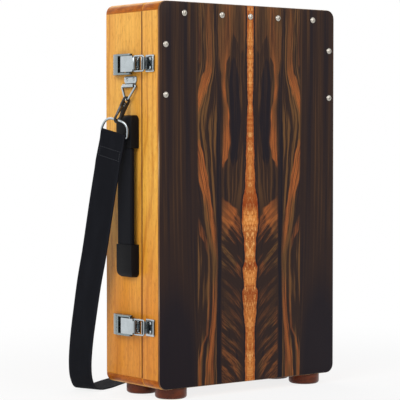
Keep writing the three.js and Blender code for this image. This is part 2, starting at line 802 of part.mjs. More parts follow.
function handle() {
  const upper = node('handle_upper_cap', handleCap(), 'blackPlastic')
  upper.position.z = handleLength / 2 - capLength
  const lower = node('handle_lower_cap', handleCap(), 'blackPlastic')
  lower.position.z = capLength - handleLength / 2
  lower.rotation.y = Math.PI
  return groupOf(upper, lower, node('handle_grip', handleGrip(), 'blackPlastic'))
}

// Strap anchor: z is 0 at the middle of the clip's plate, and the pieces hang below it and lean out of the wall

const radians = THREE.MathUtils.degToRad
const clipCurlInner = ringWireRadius + runningFit
const clipCurlOuter = clipCurlInner + clipSheet
const ringBarRise = seat + clipCurlOuter
const ringCentre = new THREE.Vector3(0, ringBarRise, -clipDrop)
const ringAlong = new THREE.Vector3(0, Math.sin(radians(ringLean)), -Math.cos(radians(ringLean)))
const ringApexDrop = ringDrop - (ringApexBend / 2) * Math.cos(Math.atan2(ringHalfWidth, ringDrop))
const ringApex = ringCentre.clone().addScaledVector(ringAlong, ringApexDrop)
const hookUp = new THREE.Vector3(0, -Math.sin(radians(hookTilt)), Math.cos(radians(hookTilt)))
const hookOut = new THREE.Vector3(0, Math.cos(radians(hookTilt)), Math.sin(radians(hookTilt)))
const eyeDrop = hookEyeRadius - ringWireRadius - hookSeat
const bowlDrop = eyeDrop + hookLength
const ringTop = ringApex.clone().addScaledVector(hookUp, -bowlDrop - eyeDrop)

function strapClip() {
  const curl = new THREE.Shape()
  curl.moveTo(seat, 0)
  curl.lineTo(seat, -clipDrop)
  curl.absarc(ringBarRise, -clipDrop, clipCurlOuter, Math.PI, Math.PI * 2.5)
  curl.absarc(ringBarRise, -clipDrop, clipCurlInner, Math.PI * 2.5, Math.PI, true)
  curl.lineTo(seat + clipSheet, 0)
  const outline = roundedRectangle(-clipHalfWidth, clipHalfWidth, -clipTop, clipTop, clipCorner)
  return joined(sheet(outline, seat, seat + clipSheet), crossSlab(curl, clipCurlHalfWidth))
}

function clipRing() {
  const across = new THREE.Vector3(1, 0, 0)
  const corners = [[-ringHalfWidth, 0, ringBend], [0, ringDrop, ringApexBend], [ringHalfWidth, 0, ringBend]]
  const normal = across.clone().cross(ringAlong)
  return closedWire(bentLoop(corners, ringCentre, across, ringAlong), normal, ringWireRadius)
}

function snapHook() {
  const outer = hookEyeRadius + hookWall
  const half = hookThickness / 2
  const pivotDrop = eyeDrop + hookThroatStart
  const body = roundedRectangle(-outer, outer, -bowlDrop - outer, outer - eyeDrop, outer)
  // Room for the gate to swing in: a wedge that opens from its pivot down to the bowl
  const swing = new THREE.Shape()
  swing.moveTo(hookEyeRadius + weld, -pivotDrop)
  swing.lineTo(hookEyeRadius - gateRoomTop, -pivotDrop)
  swing.lineTo(hookEyeRadius - gateRoomFoot, -eyeDrop - hookThroatEnd)
  swing.lineTo(-hookEyeRadius, -bowlDrop)
  swing.lineTo(hookEyeRadius, -bowlDrop)
  swing.lineTo(hookEyeRadius + weld, -eyeDrop - hookThroatEnd)
  return cut(
    slab(body, -half, half), slab(circle(0, -eyeDrop, hookEyeRadius), -overrun, overrun),
    slab(circle(0, -bowlDrop, hookEyeRadius), -overrun, overrun), slab(swing, -overrun, overrun),
    slab(circle(hookEyeRadius, -pivotDrop, hookWall + runningFit), -overrun, overrun),
    box(hookEyeRadius - weld, outer + overrun, -eyeDrop - hookThroatEnd, -pivotDrop, -overrun, overrun),
  )
}

function hookGate() {
  const half = hookThickness / 2
  const pivotDrop = eyeDrop + hookThroatStart
  const bar = new THREE.Shape()
  bar.absarc(hookEyeRadius, -pivotDrop, hookWall, 0, Math.PI)
  bar.lineTo(hookEyeRadius, -eyeDrop - hookThroatEnd + runningFit)
  bar.lineTo(hookEyeRadius + hookWall, -eyeDrop - hookThroatEnd + runningFit)
  return slab(bar, -half, half)
}

function dRing(yaw, tilt) {
  const across = new THREE.Vector3(
    Math.cos(yaw) * Math.cos(tilt), Math.sin(yaw) * Math.cos(tilt), Math.sin(tilt),
  )
  const normal = new THREE.Vector3(Math.sin(yaw), -Math.cos(yaw), 0)
  const down = across.clone().cross(normal)
  const corners = [
    [-dRingHalfWidth, dRingHeight, dRingFootBend], [dRingHalfWidth, dRingHeight, dRingFootBend],
    [dRingTopHalfWidth, 0, dRingTopBend], [-dRingTopHalfWidth, 0, dRingTopBend],
  ]
  return closedWire(bentLoop(corners, ringTop, across, down), normal, ringWireRadius)
}

function strapAnchor(prefix, yaw, tilt) {
  const hook = groupOf(
    node(`${prefix}_snap_hook`, snapHook(), 'blackMetal'),
    node(`${prefix}_hook_gate`, hookGate(), 'chrome'),
  )
  hook.position.copy(ringApex)
  hook.quaternion.setFromRotationMatrix(
    new THREE.Matrix4().makeBasis(hookOut, hookUp, new THREE.Vector3(1, 0, 0)),
  )
  return groupOf(
    node(`${prefix}_strap_clip`, strapClip(), 'chrome'),
    node(`${prefix}_clip_ring`, clipRing(), 'chrome'),
    hook,
    node(`${prefix}_d_ring`, dRing(radians(yaw), radians(tilt)), 'chrome'),
  )
}

// Strap: the route is smoothed, and a flat section is carried along it with its width held as listed

function strap() {
  const places = strapRoute.map((place) => new THREE.Vector3(...place))
  const route = new THREE.CatmullRomCurve3(places, false, 'centripetal')
  const widths = strapWidthDirections.map((direction) => new THREE.Vector3(...direction))
  const steps = (strapRoute.length - 1) * strapStepsPerPoint
  const rings = Array.from({ length: steps + 1 }, (_, i) => {
    const share = i / steps
    const place = share * (widths.length - 1)
    const before = Math.min(Math.floor(place), widths.length - 2)
    const along = route.getTangent(share)
    const across = widths[before].clone().lerp(widths[before + 1], place - before)
    across.addScaledVector(along, -across.dot(along)).normalize()
    const normal = across.clone().cross(along)
    return [[1, 1], [-1, 1], [-1, -1], [1, -1]].map(([side, face]) => (
      route.getPoint(share)
        .addScaledVector(across, (side * strapWidth) / 2)
        .addScaledVector(normal, (face * strapThickness) / 2)
    ))
  })
  return loft(rings)
}

// Hardware frames on the three walls, each with x along the wall, y out of it and z up

function onLeftWall(children, depth, height) {
  const group = groupOf(...children)
  group.position.set(0, depth, height)
  group.rotation.z = Math.PI / 2
  return group
}

function onRightWall(children, depth, height) {
  const group = groupOf(...children)
  group.position.set(caseWidth, depth, height)
  group.rotation.z = -Math.PI / 2
  return group
}

function onBackWall(children, across, height) {
  const group = groupOf(...children)
  group.position.set(across, caseDepth, height)
  return group
}

const cajon = groupOf(
  frontShell(),
  rearShell(),
  onLeftWall([latch('upper')], 0, upperLatchHeight),
  onLeftWall([latch('lower')], 0, latchInset),
  onLeftWall([handle()], handleDepth, handleMiddle),
  onLeftWall([strapAnchor('side', sideRingYaw, sideRingTilt)], sideAnchorDepth, sideAnchorHeight),
  onBackWall([strapAnchor('rear', rearRingYaw, rearRingTilt)], rearAnchorWidth, rearAnchorHeight),
  onRightWall([hinge('upper')], seamDepth, caseHeight - hingeInset),
  onRightWall([hinge('lower')], seamDepth, hingeInset),
  node('shoulder_strap', strap(), 'webbing'),
)

// The model's origin is on the floor under the middle of the case with its fixed hardware
const leftReach = linkRise
const rightReach = hingeAxisRise + hingeBarrelRadius
const frontReach = glueLine + screwHeadRise
const backReach = ringApex.y + ringWireRadius
cajon.position.set(
  -(caseWidth + rightReach - leftReach) / 2, -(caseDepth + backReach - frontReach) / 2, footHeight,
)

export default groupOf(cajon)
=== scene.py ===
"""Looks for a shallow folding cajon: wood, book-matched veneer, draw latches, handle and carrying strap.

Run as a script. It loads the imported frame, registers the operators below and calls them in order.
Lengths are metres, or millimetres where a comment says so. The case stands on its feet, its striking panel
faces -Y and its left wall faces -X.
"""
import json
import math
from contextlib import contextmanager

import bpy
from bpy.props import FloatProperty, FloatVectorProperty, IntProperty, PointerProperty
from mathutils import Matrix, Vector

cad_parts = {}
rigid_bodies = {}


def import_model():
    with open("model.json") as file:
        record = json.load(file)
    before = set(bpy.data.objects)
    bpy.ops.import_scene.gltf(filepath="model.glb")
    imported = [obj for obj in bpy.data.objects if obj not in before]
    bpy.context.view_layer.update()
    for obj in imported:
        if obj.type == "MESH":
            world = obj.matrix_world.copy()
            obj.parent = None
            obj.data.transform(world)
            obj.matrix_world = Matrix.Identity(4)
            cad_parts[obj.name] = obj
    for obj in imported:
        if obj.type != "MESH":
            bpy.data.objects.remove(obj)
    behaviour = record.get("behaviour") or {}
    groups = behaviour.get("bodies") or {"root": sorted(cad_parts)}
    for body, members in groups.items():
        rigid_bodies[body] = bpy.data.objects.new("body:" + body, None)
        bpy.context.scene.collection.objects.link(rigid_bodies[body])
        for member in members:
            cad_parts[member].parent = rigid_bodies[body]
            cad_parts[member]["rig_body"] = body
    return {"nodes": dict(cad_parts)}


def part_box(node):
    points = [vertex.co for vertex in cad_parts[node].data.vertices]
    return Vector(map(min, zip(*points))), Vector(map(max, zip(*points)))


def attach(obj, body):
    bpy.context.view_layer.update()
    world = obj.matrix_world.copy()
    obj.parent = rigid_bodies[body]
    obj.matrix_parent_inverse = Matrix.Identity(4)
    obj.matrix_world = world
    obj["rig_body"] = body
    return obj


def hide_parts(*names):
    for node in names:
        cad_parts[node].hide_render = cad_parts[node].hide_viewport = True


bl_info = {
    "name": "Folding Cajon",
    "version": (1, 0, 0),
    "blender": (4, 5, 0),
    "location": "View3D > Sidebar > Cajon",
    "description": "Dresses a folding cajon with lacquered wood, veneer, hardware and webbing",
    "category": "Object",
}

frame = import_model()

# The case's own corner in the frame, from which widths, depths and heights are measured
CASE_LEFT = -0.14635
CASE_FRONT = -0.063348
CASE_FOOT = 0.014
CASE_WIDTH = 0.3
CASE_DEPTH = 0.12
CASE_HEIGHT = 0.5
FRONT_SHELL_DEPTH = 0.038
SHELL_JOINT = CASE_FRONT + FRONT_SHELL_DEPTH


def in_case(across, depth, height):
    """A point given in millimetres from the case's left side, its front face and its underside."""
    return Vector((CASE_LEFT + across / 1000, CASE_FRONT + depth / 1000, CASE_FOOT + height / 1000))


def shade(red, green, blue):
    """A colour as it is seen, 0 to 255, as Blender's linear values."""
    def linear(value):
        value /= 255
        return value / 12.92 if value <= 0.04045 else ((value + 0.055) / 1.055) ** 2.4
    return (linear(red), linear(green), linear(blue), 1.0)


def lightened(tint, factor):
    """A colour with its values multiplied, which darkens it where the factor is below 1."""
    return tuple(min(1.0, factor * value) for value in tint[:3]) + (1.0,)


# Sizes and colours


def colour(name, description, *rgb):
    return FloatVectorProperty(
        name=name, description=description, subtype="COLOR", size=4, min=0, max=1, default=shade(*rgb))


def length(name, description, default):
    return FloatProperty(name=name, description=description, default=default, min=0, unit="LENGTH")


def light(name, description, default, unit="POWER"):
    return FloatProperty(name=name, description=description, default=default, unit=unit)


class CajonWood(bpy.types.PropertyGroup):
    pale: colour("Side wood, pale", "Lacquered board between its grain lines", 246, 186, 86)
    dark: colour("Side wood, dark", "Grain lines of the lacquered boards", 180, 104, 26)
    warm: colour("Side wood, warm", "Broad reddish clouds in the boards", 234, 156, 50)
    end: colour("End grain", "Sealed ends of the top and bottom boards", 196, 108, 22)
    end_dark: colour("End grain, dark", "Soaked-in lacquer on the board ends", 124, 58, 16)
    raw: colour("Raw wood", "Battens inside the case", 206, 170, 118)
    ply: colour("Panel ply", "Face of the back panel", 196, 148, 92)
    foot: colour("Foot wood", "Stained feet", 92, 44, 22)


class CajonVeneer(bpy.types.PropertyGroup):
    ground: colour("Veneer ground", "Dark heartwood of the striking panel", 50, 36, 32)
    ink: colour("Veneer ink", "Blackest lines of the heartwood", 31, 26, 32)
    flame: colour("Veneer flame", "Red-brown bands of the figure", 190, 106, 52)
    moss: colour("Veneer moss", "Duller brown lines of the figure", 112, 78, 46)
    sap: colour("Sapwood", "Pale stripe up the middle", 226, 144, 70)
    sap_pale: colour("Sapwood, pale", "Palest flecks of the stripe", 246, 188, 116)
    sap_red: colour("Sapwood, red", "Redder clouds in the pale stripe", 146, 62, 22)
    leaf: length("Leaf width", "Distance from the middle to the joint of the next leaf of veneer", 0.088)


class CajonMetal(bpy.types.PropertyGroup):
    plate: colour("Plated steel", "Latches, rings and screws", 196, 205, 209)
    # Painted shade: the levers are the same plated steel as the links, darkened for the darker reflection
    # they show
    lever: colour("Lever steel", "Duller plate of the latch levers", 146, 158, 160)
    steel: colour("Satin steel", "Hinges", 168, 170, 173)
    nickel: colour("Dark nickel", "Sprung gates of the snap hooks", 98, 99, 103)
    screw: colour("Screw steel", "Domed screws of the striking panel", 188, 182, 172)
    wire: colour("Snare wire", "Coiled snare strands", 176, 174, 168)
    black: colour("Black metal", "Snap hooks", 20, 21, 25)


class CajonStrap(bpy.types.PropertyGroup):
    width: length("Strap width", "Width of the webbing", 0.038)
    thickness: length("Strap thickness", "Thickness of the webbing", 0.002)
    fold: length("Fold", "Length of webbing sewn back behind each D-ring", 0.034)
    stitch: length("Stitch", "Length of one stitch", 0.0024)
    rib: length("Rib", "Spacing of the webbing's cross ribs", 0.0011)
    cloth: colour("Webbing", "Colour of the webbing", 17, 18, 22)
    thread: colour("Thread", "Colour of the stitching", 44, 45, 50)
    steps: IntProperty(
        name="Steps", description="Rings of the webbing between two route points", default=7, min=2)


class CajonPlastic(bpy.types.PropertyGroup):
    moulded: colour("Moulded plastic", "Handle caps", 21, 21, 23)
    grip: colour("Grip", "Handle grip", 17, 18, 23)


class CajonStage(bpy.types.PropertyGroup):
    lens: light("Lens", "Camera lens for a 36 mm sensor", 0.15494, "CAMERA")
    floor: colour("Floor", "Pale studio floor", 246, 246, 246)
    world: light("World light", "Strength of the plain white surroundings", 0.5, "NONE")
    key: light("Key light", "Soft lamp in front and to the left", 34)
    fill: light("Fill light", "Soft lamp in front and to the right", 16)
    rim: light("Rear light", "Soft lamp behind and above", 12)


# Node graphs

# A whole turn in radians, as near as the waves need it
ONE_TURN = 6.28
WHITE = (1, 1, 1, 1)


def operation(name):
    """A method that adds a math node of this kind and gives its signal."""
    return lambda self, *others: self.graph.math(name, self, *others)


class Signal:
    """What a socket of a node graph gives. Arithmetic on it adds math nodes."""

    __add__ = operation("ADD")
    __sub__ = operation("SUBTRACT")
    __mul__ = operation("MULTIPLY")
    __truediv__ = operation("DIVIDE")
    __pow__ = operation("POWER")
    __abs__ = operation("ABSOLUTE")

    def __init__(self, graph, socket):
        self.graph = graph
        self.socket = socket

    def __rsub__(self, other):
        return self.graph.math("SUBTRACT", other, self)

    def clamped(self):
        """The same value, which its math node now keeps between 0 and 1."""
        self.socket.node.use_clamp = True
        return self

    def wave(self, pitch):
        """A sine wave with one turn in each pitch."""
        return self.graph.math("SINE", self * (ONE_TURN / pitch))

    def step(self, low, high, out_low=0.0, out_high=1.0):
        """A smooth step from out_low at low to out_high at high."""
        return self.graph.out("MapRange", {
            "Value": self, "From Min": low, "From Max": high, "To Min": out_low, "To Max": out_high},
            interpolation_type="SMOOTHSTEP")

    def noise(self, scale=1.0, detail=3.0, roughness=0.5, distortion=0.0):
        """Noise at this place. Three scales in a row stretch it along each axis by its own."""
        place = self
        if isinstance(scale, tuple):
            place = self.graph.out("VectorMath", {0: self, 1: scale}, operation="MULTIPLY")
            scale = 1.0
        return self.graph.out("TexNoise", {
            "Vector": place, "Scale": scale, "Detail": detail, "Roughness": roughness,
            "Distortion": distortion})

    def split(self, kind="XYZ"):
        """The three parts of a vector, or of a colour where the kind is Color."""
        node = self.graph.add("Separate" + kind, {0: self})
        return [Signal(self.graph, socket) for socket in node.outputs]

    def towards(self, other, share):
        """This colour with a share of another mixed in."""
        return self.graph.mix(share, self, other)


class Graph:
    """Adds nodes to a node tree and links each signal that is given to them."""

    def __init__(self, tree, shader=None):
        self.tree = tree
        self.shader = shader

    def feed(self, sockets, values):
        """Gives each named socket its signal or its plain value. A value of None leaves the socket alone."""
        for key, value in values.items():
            if isinstance(value, Signal):
                self.tree.links.new(value.socket, sockets[key])
            elif value is not None:
                sockets[key].default_value = value

    def add(self, kind, inputs=None, **settings):
        node = self.tree.nodes.new("ShaderNode" + kind)
        for key, value in settings.items():
            setattr(node, key, value)
        self.feed(node.inputs, inputs or {})
        return node

    def out(self, kind, inputs=None, output=0, **settings):
        """Adds a node and gives the signal of one of its outputs."""
        return Signal(self, self.add(kind, inputs, **settings).outputs[output])

    def math(self, kind, *values):
        return self.out("Math", dict(enumerate(values)), operation=kind)

    def highest(self, first, *others):
        for other in others:
            first = self.math("MAXIMUM", first, other)
        return first

    def join(self, x, y, z):
        return self.out("CombineXYZ", {"X": x, "Y": y, "Z": z})

    def mix(self, factor, first, second, blend="MIX"):
        factor_input, colour_inputs, colour_output = 0, (6, 7), 2
        values = {factor_input: factor, **dict(zip(colour_inputs, (first, second)))}
        return self.out("Mix", values, colour_output, data_type="RGBA", blend_type=blend, clamp_factor=True)

    def ramp(self, factor, stops, interpolation="LINEAR"):
        """A colour ramp. A stop is its place, and then one value, a colour's three values or a colour."""
        node = self.add("ValToRGB", {"Fac": factor})
        elements = node.color_ramp.elements
        node.color_ramp.interpolation = interpolation
        while len(elements) < len(stops):
            elements.new(0.5)
        for element, (place, *value) in zip(elements, stops):
            value = value[0] if isinstance(value[0], tuple) else value
            element.position = place
            element.color = (*value[:3], 1.0) if len(value) > 1 else (*value * 3, 1.0)
        return Signal(self, node.outputs[0])

    def group(self, name, inputs):
        """Places a node group and gives its outputs by name."""
        node = self.add("Group", inputs, node_tree=bpy.data.node_groups[name])
        return {socket.name: Signal(self, socket) for socket in node.outputs}

    def worn(self, place, amount):
        """Mask and height of the handling marks."""
        wear = self.group("handling_wear", {"Vector": place, "Amount": amount})
        return wear["Mask"], wear["Height"]

    def coordinate(self, name):
        return self.out("TexCoord", output=name)

    def sideways(self):
        """How far a face of the piece looks to its left or right, from 0 to 1."""
        return abs(self.coordinate("Normal").split()[0])

    def grained(self, vector, pale, dark, warm, lines, strength, pores):
        """Colour, height and gloss of a board whose grain runs along Z of the vector."""
        grain = self.group("board_grain", {
            "Vector": vector, "Pale": pale, "Dark": dark, "Warm": warm, "Lines": lines,
            "Line Strength": strength, "Pores": pores})
        return grain["Color"], grain["Height"], grain["Gloss"]

    def dress(self, tint, roughness, height, depth, strength, coat=None):
        """Feeds the shader what changes over the surface. The height's relief is depth metres deep."""
        normal = self.out("Bump", {"Height": height, "Distance": depth, "Strength": strength})
        self.feed(self.shader.inputs, {
            "Base Color": tint, "Roughness": roughness, "Coat Weight": coat, "Normal": normal})


def new_group(name, inputs, outputs):
    """A node group. Its inputs come with their defaults, None for a vector's, and its outputs as names."""
    tree = bpy.data.node_groups.new(name, "ShaderNodeTree")
    for label, default in inputs.items():
        kind = "Vector" if default is None else "Color" if isinstance(default, tuple) else "Float"
        socket = tree.interface.new_socket(label, in_out="INPUT", socket_type="NodeSocket" + kind)
        if default is not None:
            socket.default_value = default
    for label in outputs:
        kind = "Color" if label == "Color" else "Float"
        tree.interface.new_socket(label, in_out="OUTPUT", socket_type="NodeSocket" + kind)
    graph = Graph(tree)
    sockets = tree.nodes.new("NodeGroupInput").outputs
    given = {label: Signal(graph, sockets[label]) for label in inputs}
    return graph, given, tree.nodes.new("NodeGroupOutput").inputs


def grain_group():
    """Lacquered board: broad clouds, grain lines that run along Z of the given vector, and open pores."""
    graph, given, result = new_group("board_grain", {
        "Vector": None, "Pale": WHITE, "Dark": (0, 0, 0, 1), "Warm": (1, 0.5, 0, 1), "Lines": 55.0,
        "Line Strength": 0.6, "Pores": 0.5}, ("Color", "Height", "Gloss"))
    vector = given["Vector"]
    x, y, _ = vector.split()
    bent = vector.noise((9, 9, 2.6), 2, 0.45) * 0.16 + (x + y * 0.8)
    rings = graph.math("SINE", bent * (given["Lines"] * ONE_TURN))
    fine = vector.noise((420, 420, 9), 4, 0.65)
    faint = vector.noise((30, 30, 1.6), 2).step(0.38, 0.66, 0.15, 1.0)
    line = (rings + (fine - 0.5) * 2.4).step(0.1, 1.6) * faint
    cloud = vector.noise((14, 14, 2.6)).step(0.42, 0.68)
    mottle = vector.noise((75, 75, 30), 4, 0.7).step(0.46, 0.64)
    pore = vector.noise((760, 760, 46), 2, 0.6).step(0.6, 0.68) * given["Pores"]
    flakes = vector.noise((300, 300, 90), 3, 0.7).step(0.52, 0.64)
    body = graph.mix(graph.highest(cloud * 0.5, mottle * 0.4), given["Pale"], given["Warm"])
    for mask in (flakes * 0.3, line * given["Line Strength"], fine.step(0.35, 0.75, 0.0, 0.3), pore * 0.7):
        body = body.towards(given["Dark"], mask)
    graph.feed(result, {"Color": body, "Height": fine * 0.4 - pore, "Gloss": fine * 0.14 + pore * 0.2})


def band_group():
    """One soft-edged band of the veneer's figure: where it lies, how wide it is and how strong."""
    graph, given, result = new_group(
        "veneer_band", {"Across": 0.0, "Profile": (0, 0, 0, 1), "Softness": 2.0}, ("Mask",))
    middle, half, strength = given["Profile"].split("Color")
    inside = half * FIGURE_UNIT - abs(given["Across"] - middle * FIGURE_UNIT)
    graph.feed(result, {"Mask": (inside / given["Softness"]).clamped() * strength})


def flow_group():
    """The grain's own coordinate: a whole number along each guide, and even steps between two guides."""
    graph, given, result = new_group("figure_flow", {
        "Across": 0.0, "Sapwood": 8.0, "Inner": 42.0, "Joint": 54.0, "Outer": 70.0,
        "Edge": 104.0}, ("Flow",))
    across, first, *others = given.values()
    flow = (across / first).clamped()
    for near, far in zip([first, *others], others):
        flow = flow + ((across - near) / (far - near)).clamped()
    graph.feed(result, {"Flow": flow})


def wear_group():
    """Handling marks: soft smudges and small nicks, as a mask for roughness and a height."""
    graph, given, result = new_group("handling_wear", {"Vector": None, "Amount": 0.5}, ("Mask", "Height"))
    smudge = given["Vector"].noise(26, 4, 0.6).step(0.45, 0.75)
    nicks = given["Vector"].noise(420, 2, 0.7, 0.6).step(0.68, 0.74)
    graph.feed(result, {
        "Mask": graph.highest(smudge, nicks) * given["Amount"], "Height": nicks * (given["Amount"] * -1.0)})


def brush_group():
    """Polishing lines and smudges on metal, as a roughness and a height."""
    graph, given, result = new_group(
        "metal_brush", {"Vector": None, "Base": 0.15, "Lines": 0.1}, ("Roughness", "Height", "Tone"))
    lines = given["Vector"].noise((60, 60, 2600), 2, 0.6) * given["Lines"]
    smudge = given["Vector"].noise(95, 3, 0.55)
    graph.feed(result, {
        "Roughness": lines + given["Base"] + smudge.step(0.5, 0.8, 0.0, 0.12), "Height": lines,
        "Tone": smudge.step(0.3, 0.8, 0.86, 1.0)})


def weave_group():
    """Flat webbing from its own UV map: cross ribs over warp yarns, with a firmer edge cord."""
    graph, given, result = new_group(
        "webbing_weave", {"UV": None, "Rib": 0.0011, "Width": 0.038}, ("Height", "Tone"))
    u, v, _ = given["UV"].split()
    yarns = u.wave(0.0016)
    ribs = (v / given["Rib"] + graph.math("SIGN", yarns) * 0.25).wave(1.0)
    edge = abs(u - given["Width"] * 0.5).step(0.0158, 0.0172)
    fuzz = given["UV"].noise(2200, 2, 0.7)
    height = (ribs + abs(yarns)) * 0.4 + edge * 0.5 + fuzz * 0.5
    wear = given["UV"].noise((60, 14, 1), 4, 0.6)
    tone = height.step(-0.2, 1.1, 0.0, 0.6) + wear.step(0.4, 0.8, 0.0, 0.4)
    graph.feed(result, {"Height": height, "Tone": tone})


# Materials


def new_material(name, **plain):
    """The graph of a new material, whose plain values are set on the shader's own sockets."""
    material = bpy.data.materials.new(name)
    material.use_nodes = True
    shader = material.node_tree.nodes["Principled BSDF"]
    for key, value in plain.items():
        shader.inputs[key.replace("_", " ")].default_value = value
    return Graph(material.node_tree, shader)


# The boards are tinted darker and more orange towards their foot: (height in metres, tint)
FOOTWARD_TINT = [(0.0, (0.85, 0.64, 0.32)), (0.12, (0.92, 0.72, 0.4)), (0.28, (1, 1, 0.78)), (0.46, (1, 1, 1))]
# Painted shade: the dark colour laid in the groove where the two shells meet
GROOVE_PAINTED_SHADE = shade(74, 34, 12)
# How far from the joint of the shells the groove's painted shade begins, and where it is full
GROOVE_SHADE_REACH = (0.0019, 0.0007)


def board_material(
        name, pale, dark, warm, upright=True, lines=64.0, strength=0.62, pores=0.6, base=0.3, coat=0.12):
    """Lacquered wood. Grain runs up the piece, or along the case's width where upright is false."""
    graph = new_material(name, Coat_Roughness=0.12, Specular_IOR_Level=0.2)
    place = graph.coordinate("Object")
    x, y, z = place.split()
    along = place if upright else graph.join(z, y, x)
    grain, relief, gloss = graph.grained(along, pale, dark, warm, lines, strength, pores)
    mask, marks = graph.worn(place, 0.5)
    # Painted shade along the joint of the shells, on the faces that look sideways
    groove_shade = abs(y - SHELL_JOINT).step(*GROOVE_SHADE_REACH) * graph.sideways().step(0.2, 0.6)
    lacquered = graph.mix(1.0, grain, graph.ramp(z, FOOTWARD_TINT), "MULTIPLY")
    graph.dress(
        lacquered.towards(GROOVE_PAINTED_SHADE, groove_shade), gloss + (mask * 0.22 + base), relief + marks, 0.00012, 0.6,
        mask * -coat + coat if coat else None)


def end_grain_material(looks):
    """Boards that show long grain on their faces and sealed end grain where they meet the side walls."""
    graph = new_material("lacquered_cross_board", Coat_Roughness=0.14, Specular_IOR_Level=0.1)
    place = graph.coordinate("Object")
    x, y, z = place.split()
    grain, relief, gloss = graph.grained(
        graph.join(z, y, x), looks.pale, looks.dark, looks.warm, lines=80.0, strength=0.55, pores=0.45)
    rings = place.noise((30, 60, 260), 4, 0.6, 0.8)
    speck = place.noise(1500, 2, 0.7).step(0.42, 0.62) * rings.step(0.3, 0.7, 0.35, 1.0)
    blotch = place.noise((40, 70, 200), 4, 0.65).step(0.42, 0.62)
    end = graph.mix(speck * 0.7, looks.end, looks.end_dark).towards(looks.end_dark, blotch * 0.6)
    mask, marks = graph.worn(place, 0.6)
    graph.dress(
        grain.towards(end, graph.sideways().step(0.45, 0.8)), mask * 0.2 + 0.3 + gloss,
        relief + speck * 0.6 + marks, 0.00012, 0.6, mask * -0.06 + 0.06)


# The figure of half the panel, whose other half is its mirror image. Heights are shares of the case's
# height. Widths are shares of the unit below, which is in millimetres, from the middle line.
FIGURE_UNIT = 100.0
# Guides that the grain flows between: (height, distance from the middle)
INNER_GUIDE = [
    (0.0, 0.38), (0.15, 0.36), (0.3, 0.38), (0.4, 0.42), (0.5, 0.44), (0.56, 0.45), (0.62, 0.40),
    (0.7, 0.41), (0.8, 0.445), (0.88, 0.43), (1.0, 0.43)]
OUTER_GUIDE = [
    (0.0, 0.72), (0.07, 0.70), (0.14, 0.63), (0.25, 0.60), (0.36, 0.61), (0.43, 0.67), (0.5, 0.74),
    (0.56, 0.81), (0.61, 0.86), (0.66, 0.93), (0.7, 0.94), (0.74, 0.87), (0.79, 0.78), (0.83, 0.70),
    (0.88, 0.69), (1.0, 0.70)]
# The sapwood's edge on the same terms, and how red the sapwood is: (height, strength)
SAPWOOD = [
    (0.0, 0.087), (0.14, 0.083), (0.19, 0.112), (0.235, 0.136), (0.26, 0.103), (0.3, 0.13), (0.325, 0.09),
    (0.37, 0.105), (0.43, 0.145), (0.48, 0.130), (0.52, 0.090), (0.6, 0.072), (0.69, 0.060), (0.745, 0.042),
    (0.8, 0.054), (0.88, 0.057), (1.0, 0.060)]
SAPWOOD_RED = [
    (0.0, 0.1), (0.1, 0.5), (0.16, 0.2), (0.24, 0.9), (0.262, 0.1), (0.29, 0.2), (0.31, 1.0), (0.335, 0.15),
    (0.37, 0.5), (0.4, 0.6), (0.42, 0.0), (0.445, 0.1), (0.47, 1.0), (0.52, 0.6), (0.56, 0.3), (0.64, 0.6),
    (0.7, 0.5), (0.76, 0.15), (0.9, 0.2), (1.0, 0.5)]
FEATHER_STRENGTH = [
    (0.0, 0.8), (0.15, 0.7), (0.2, 0.35), (0.28, 0.4), (0.32, 0.85), (0.44, 1.0), (0.48, 0.0)]
# Bands of one colour: (height, middle of the band, half its width, strength)
FLAMES = [
    [(0.0, 0.70, 0.075, 0.9), (0.06, 0.685, 0.065, 0.9), (0.12, 0.64, 0.05, 0.8), (0.2, 0.595, 0.045, 0.85),
     (0.33, 0.59, 0.045, 0.8), (0.4, 0.615, 0.05, 0.85), (0.45, 0.68, 0.07, 0.95), (0.49, 0.725, 0.07, 1.0),
     (0.54, 0.785, 0.085, 1.0), (0.6, 0.83, 0.06, 0.95), (0.64, 0.865, 0.03, 0.7), (0.655, 0.88, 0.0, 0.0)],
    [(0.0, 0.85, 0.03, 0.6), (0.06, 0.86, 0.03, 0.6), (0.1, 0.81, 0.025, 0.6), (0.14, 0.72, 0.025, 0.6),
     (0.2, 0.70, 0.025, 0.6), (0.34, 0.70, 0.022, 0.55), (0.37, 0.74, 0.035, 0.5), (0.4, 0.80, 0.055, 0.5),
     (0.43, 0.85, 0.03, 0.4), (0.45, 0.88, 0.0, 0.0)],
    [(0.7, 0.88, 0.0, 0.0), (0.715, 0.865, 0.02, 0.7), (0.74, 0.84, 0.05, 1.0), (0.775, 0.80, 0.08, 1.0),
     (0.8, 0.76, 0.085, 1.0), (0.83, 0.70, 0.065, 0.95), (0.86, 0.69, 0.06, 0.85), (1.0, 0.69, 0.07, 0.75)],
    [(0.83, 0.87, 0.0, 0.0), (0.85, 0.865, 0.025, 0.5), (1.0, 0.865, 0.03, 0.7)],
    [(0.56, 0.47, 0.0, 0.0), (0.58, 0.46, 0.025, 0.8), (0.6, 0.42, 0.06, 1.0), (0.64, 0.405, 0.075, 1.0),
     (0.7, 0.41, 0.06, 1.0), (0.76, 0.44, 0.042, 0.95), (0.81, 0.455, 0.038, 0.95), (0.84, 0.46, 0.06, 0.95),
     (0.87, 0.44, 0.1, 0.9), (0.93, 0.42, 0.13, 0.85), (1.0, 0.42, 0.13, 0.85)],
    [(0.86, 0.15, 0.0, 0.0), (0.89, 0.15, 0.06, 0.4), (0.93, 0.18, 0.12, 0.5), (1.0, 0.18, 0.14, 0.75)],
]
EYE = [
    (0.36, 0.47, 0.0, 0.0), (0.4, 0.43, 0.07, 0.6), (0.43, 0.38, 0.13, 0.95), (0.46, 0.36, 0.16, 1.0),
    (0.475, 0.42, 0.1, 0.9), (0.49, 0.47, 0.03, 0.6), (0.5, 0.48, 0.0, 0.0)]
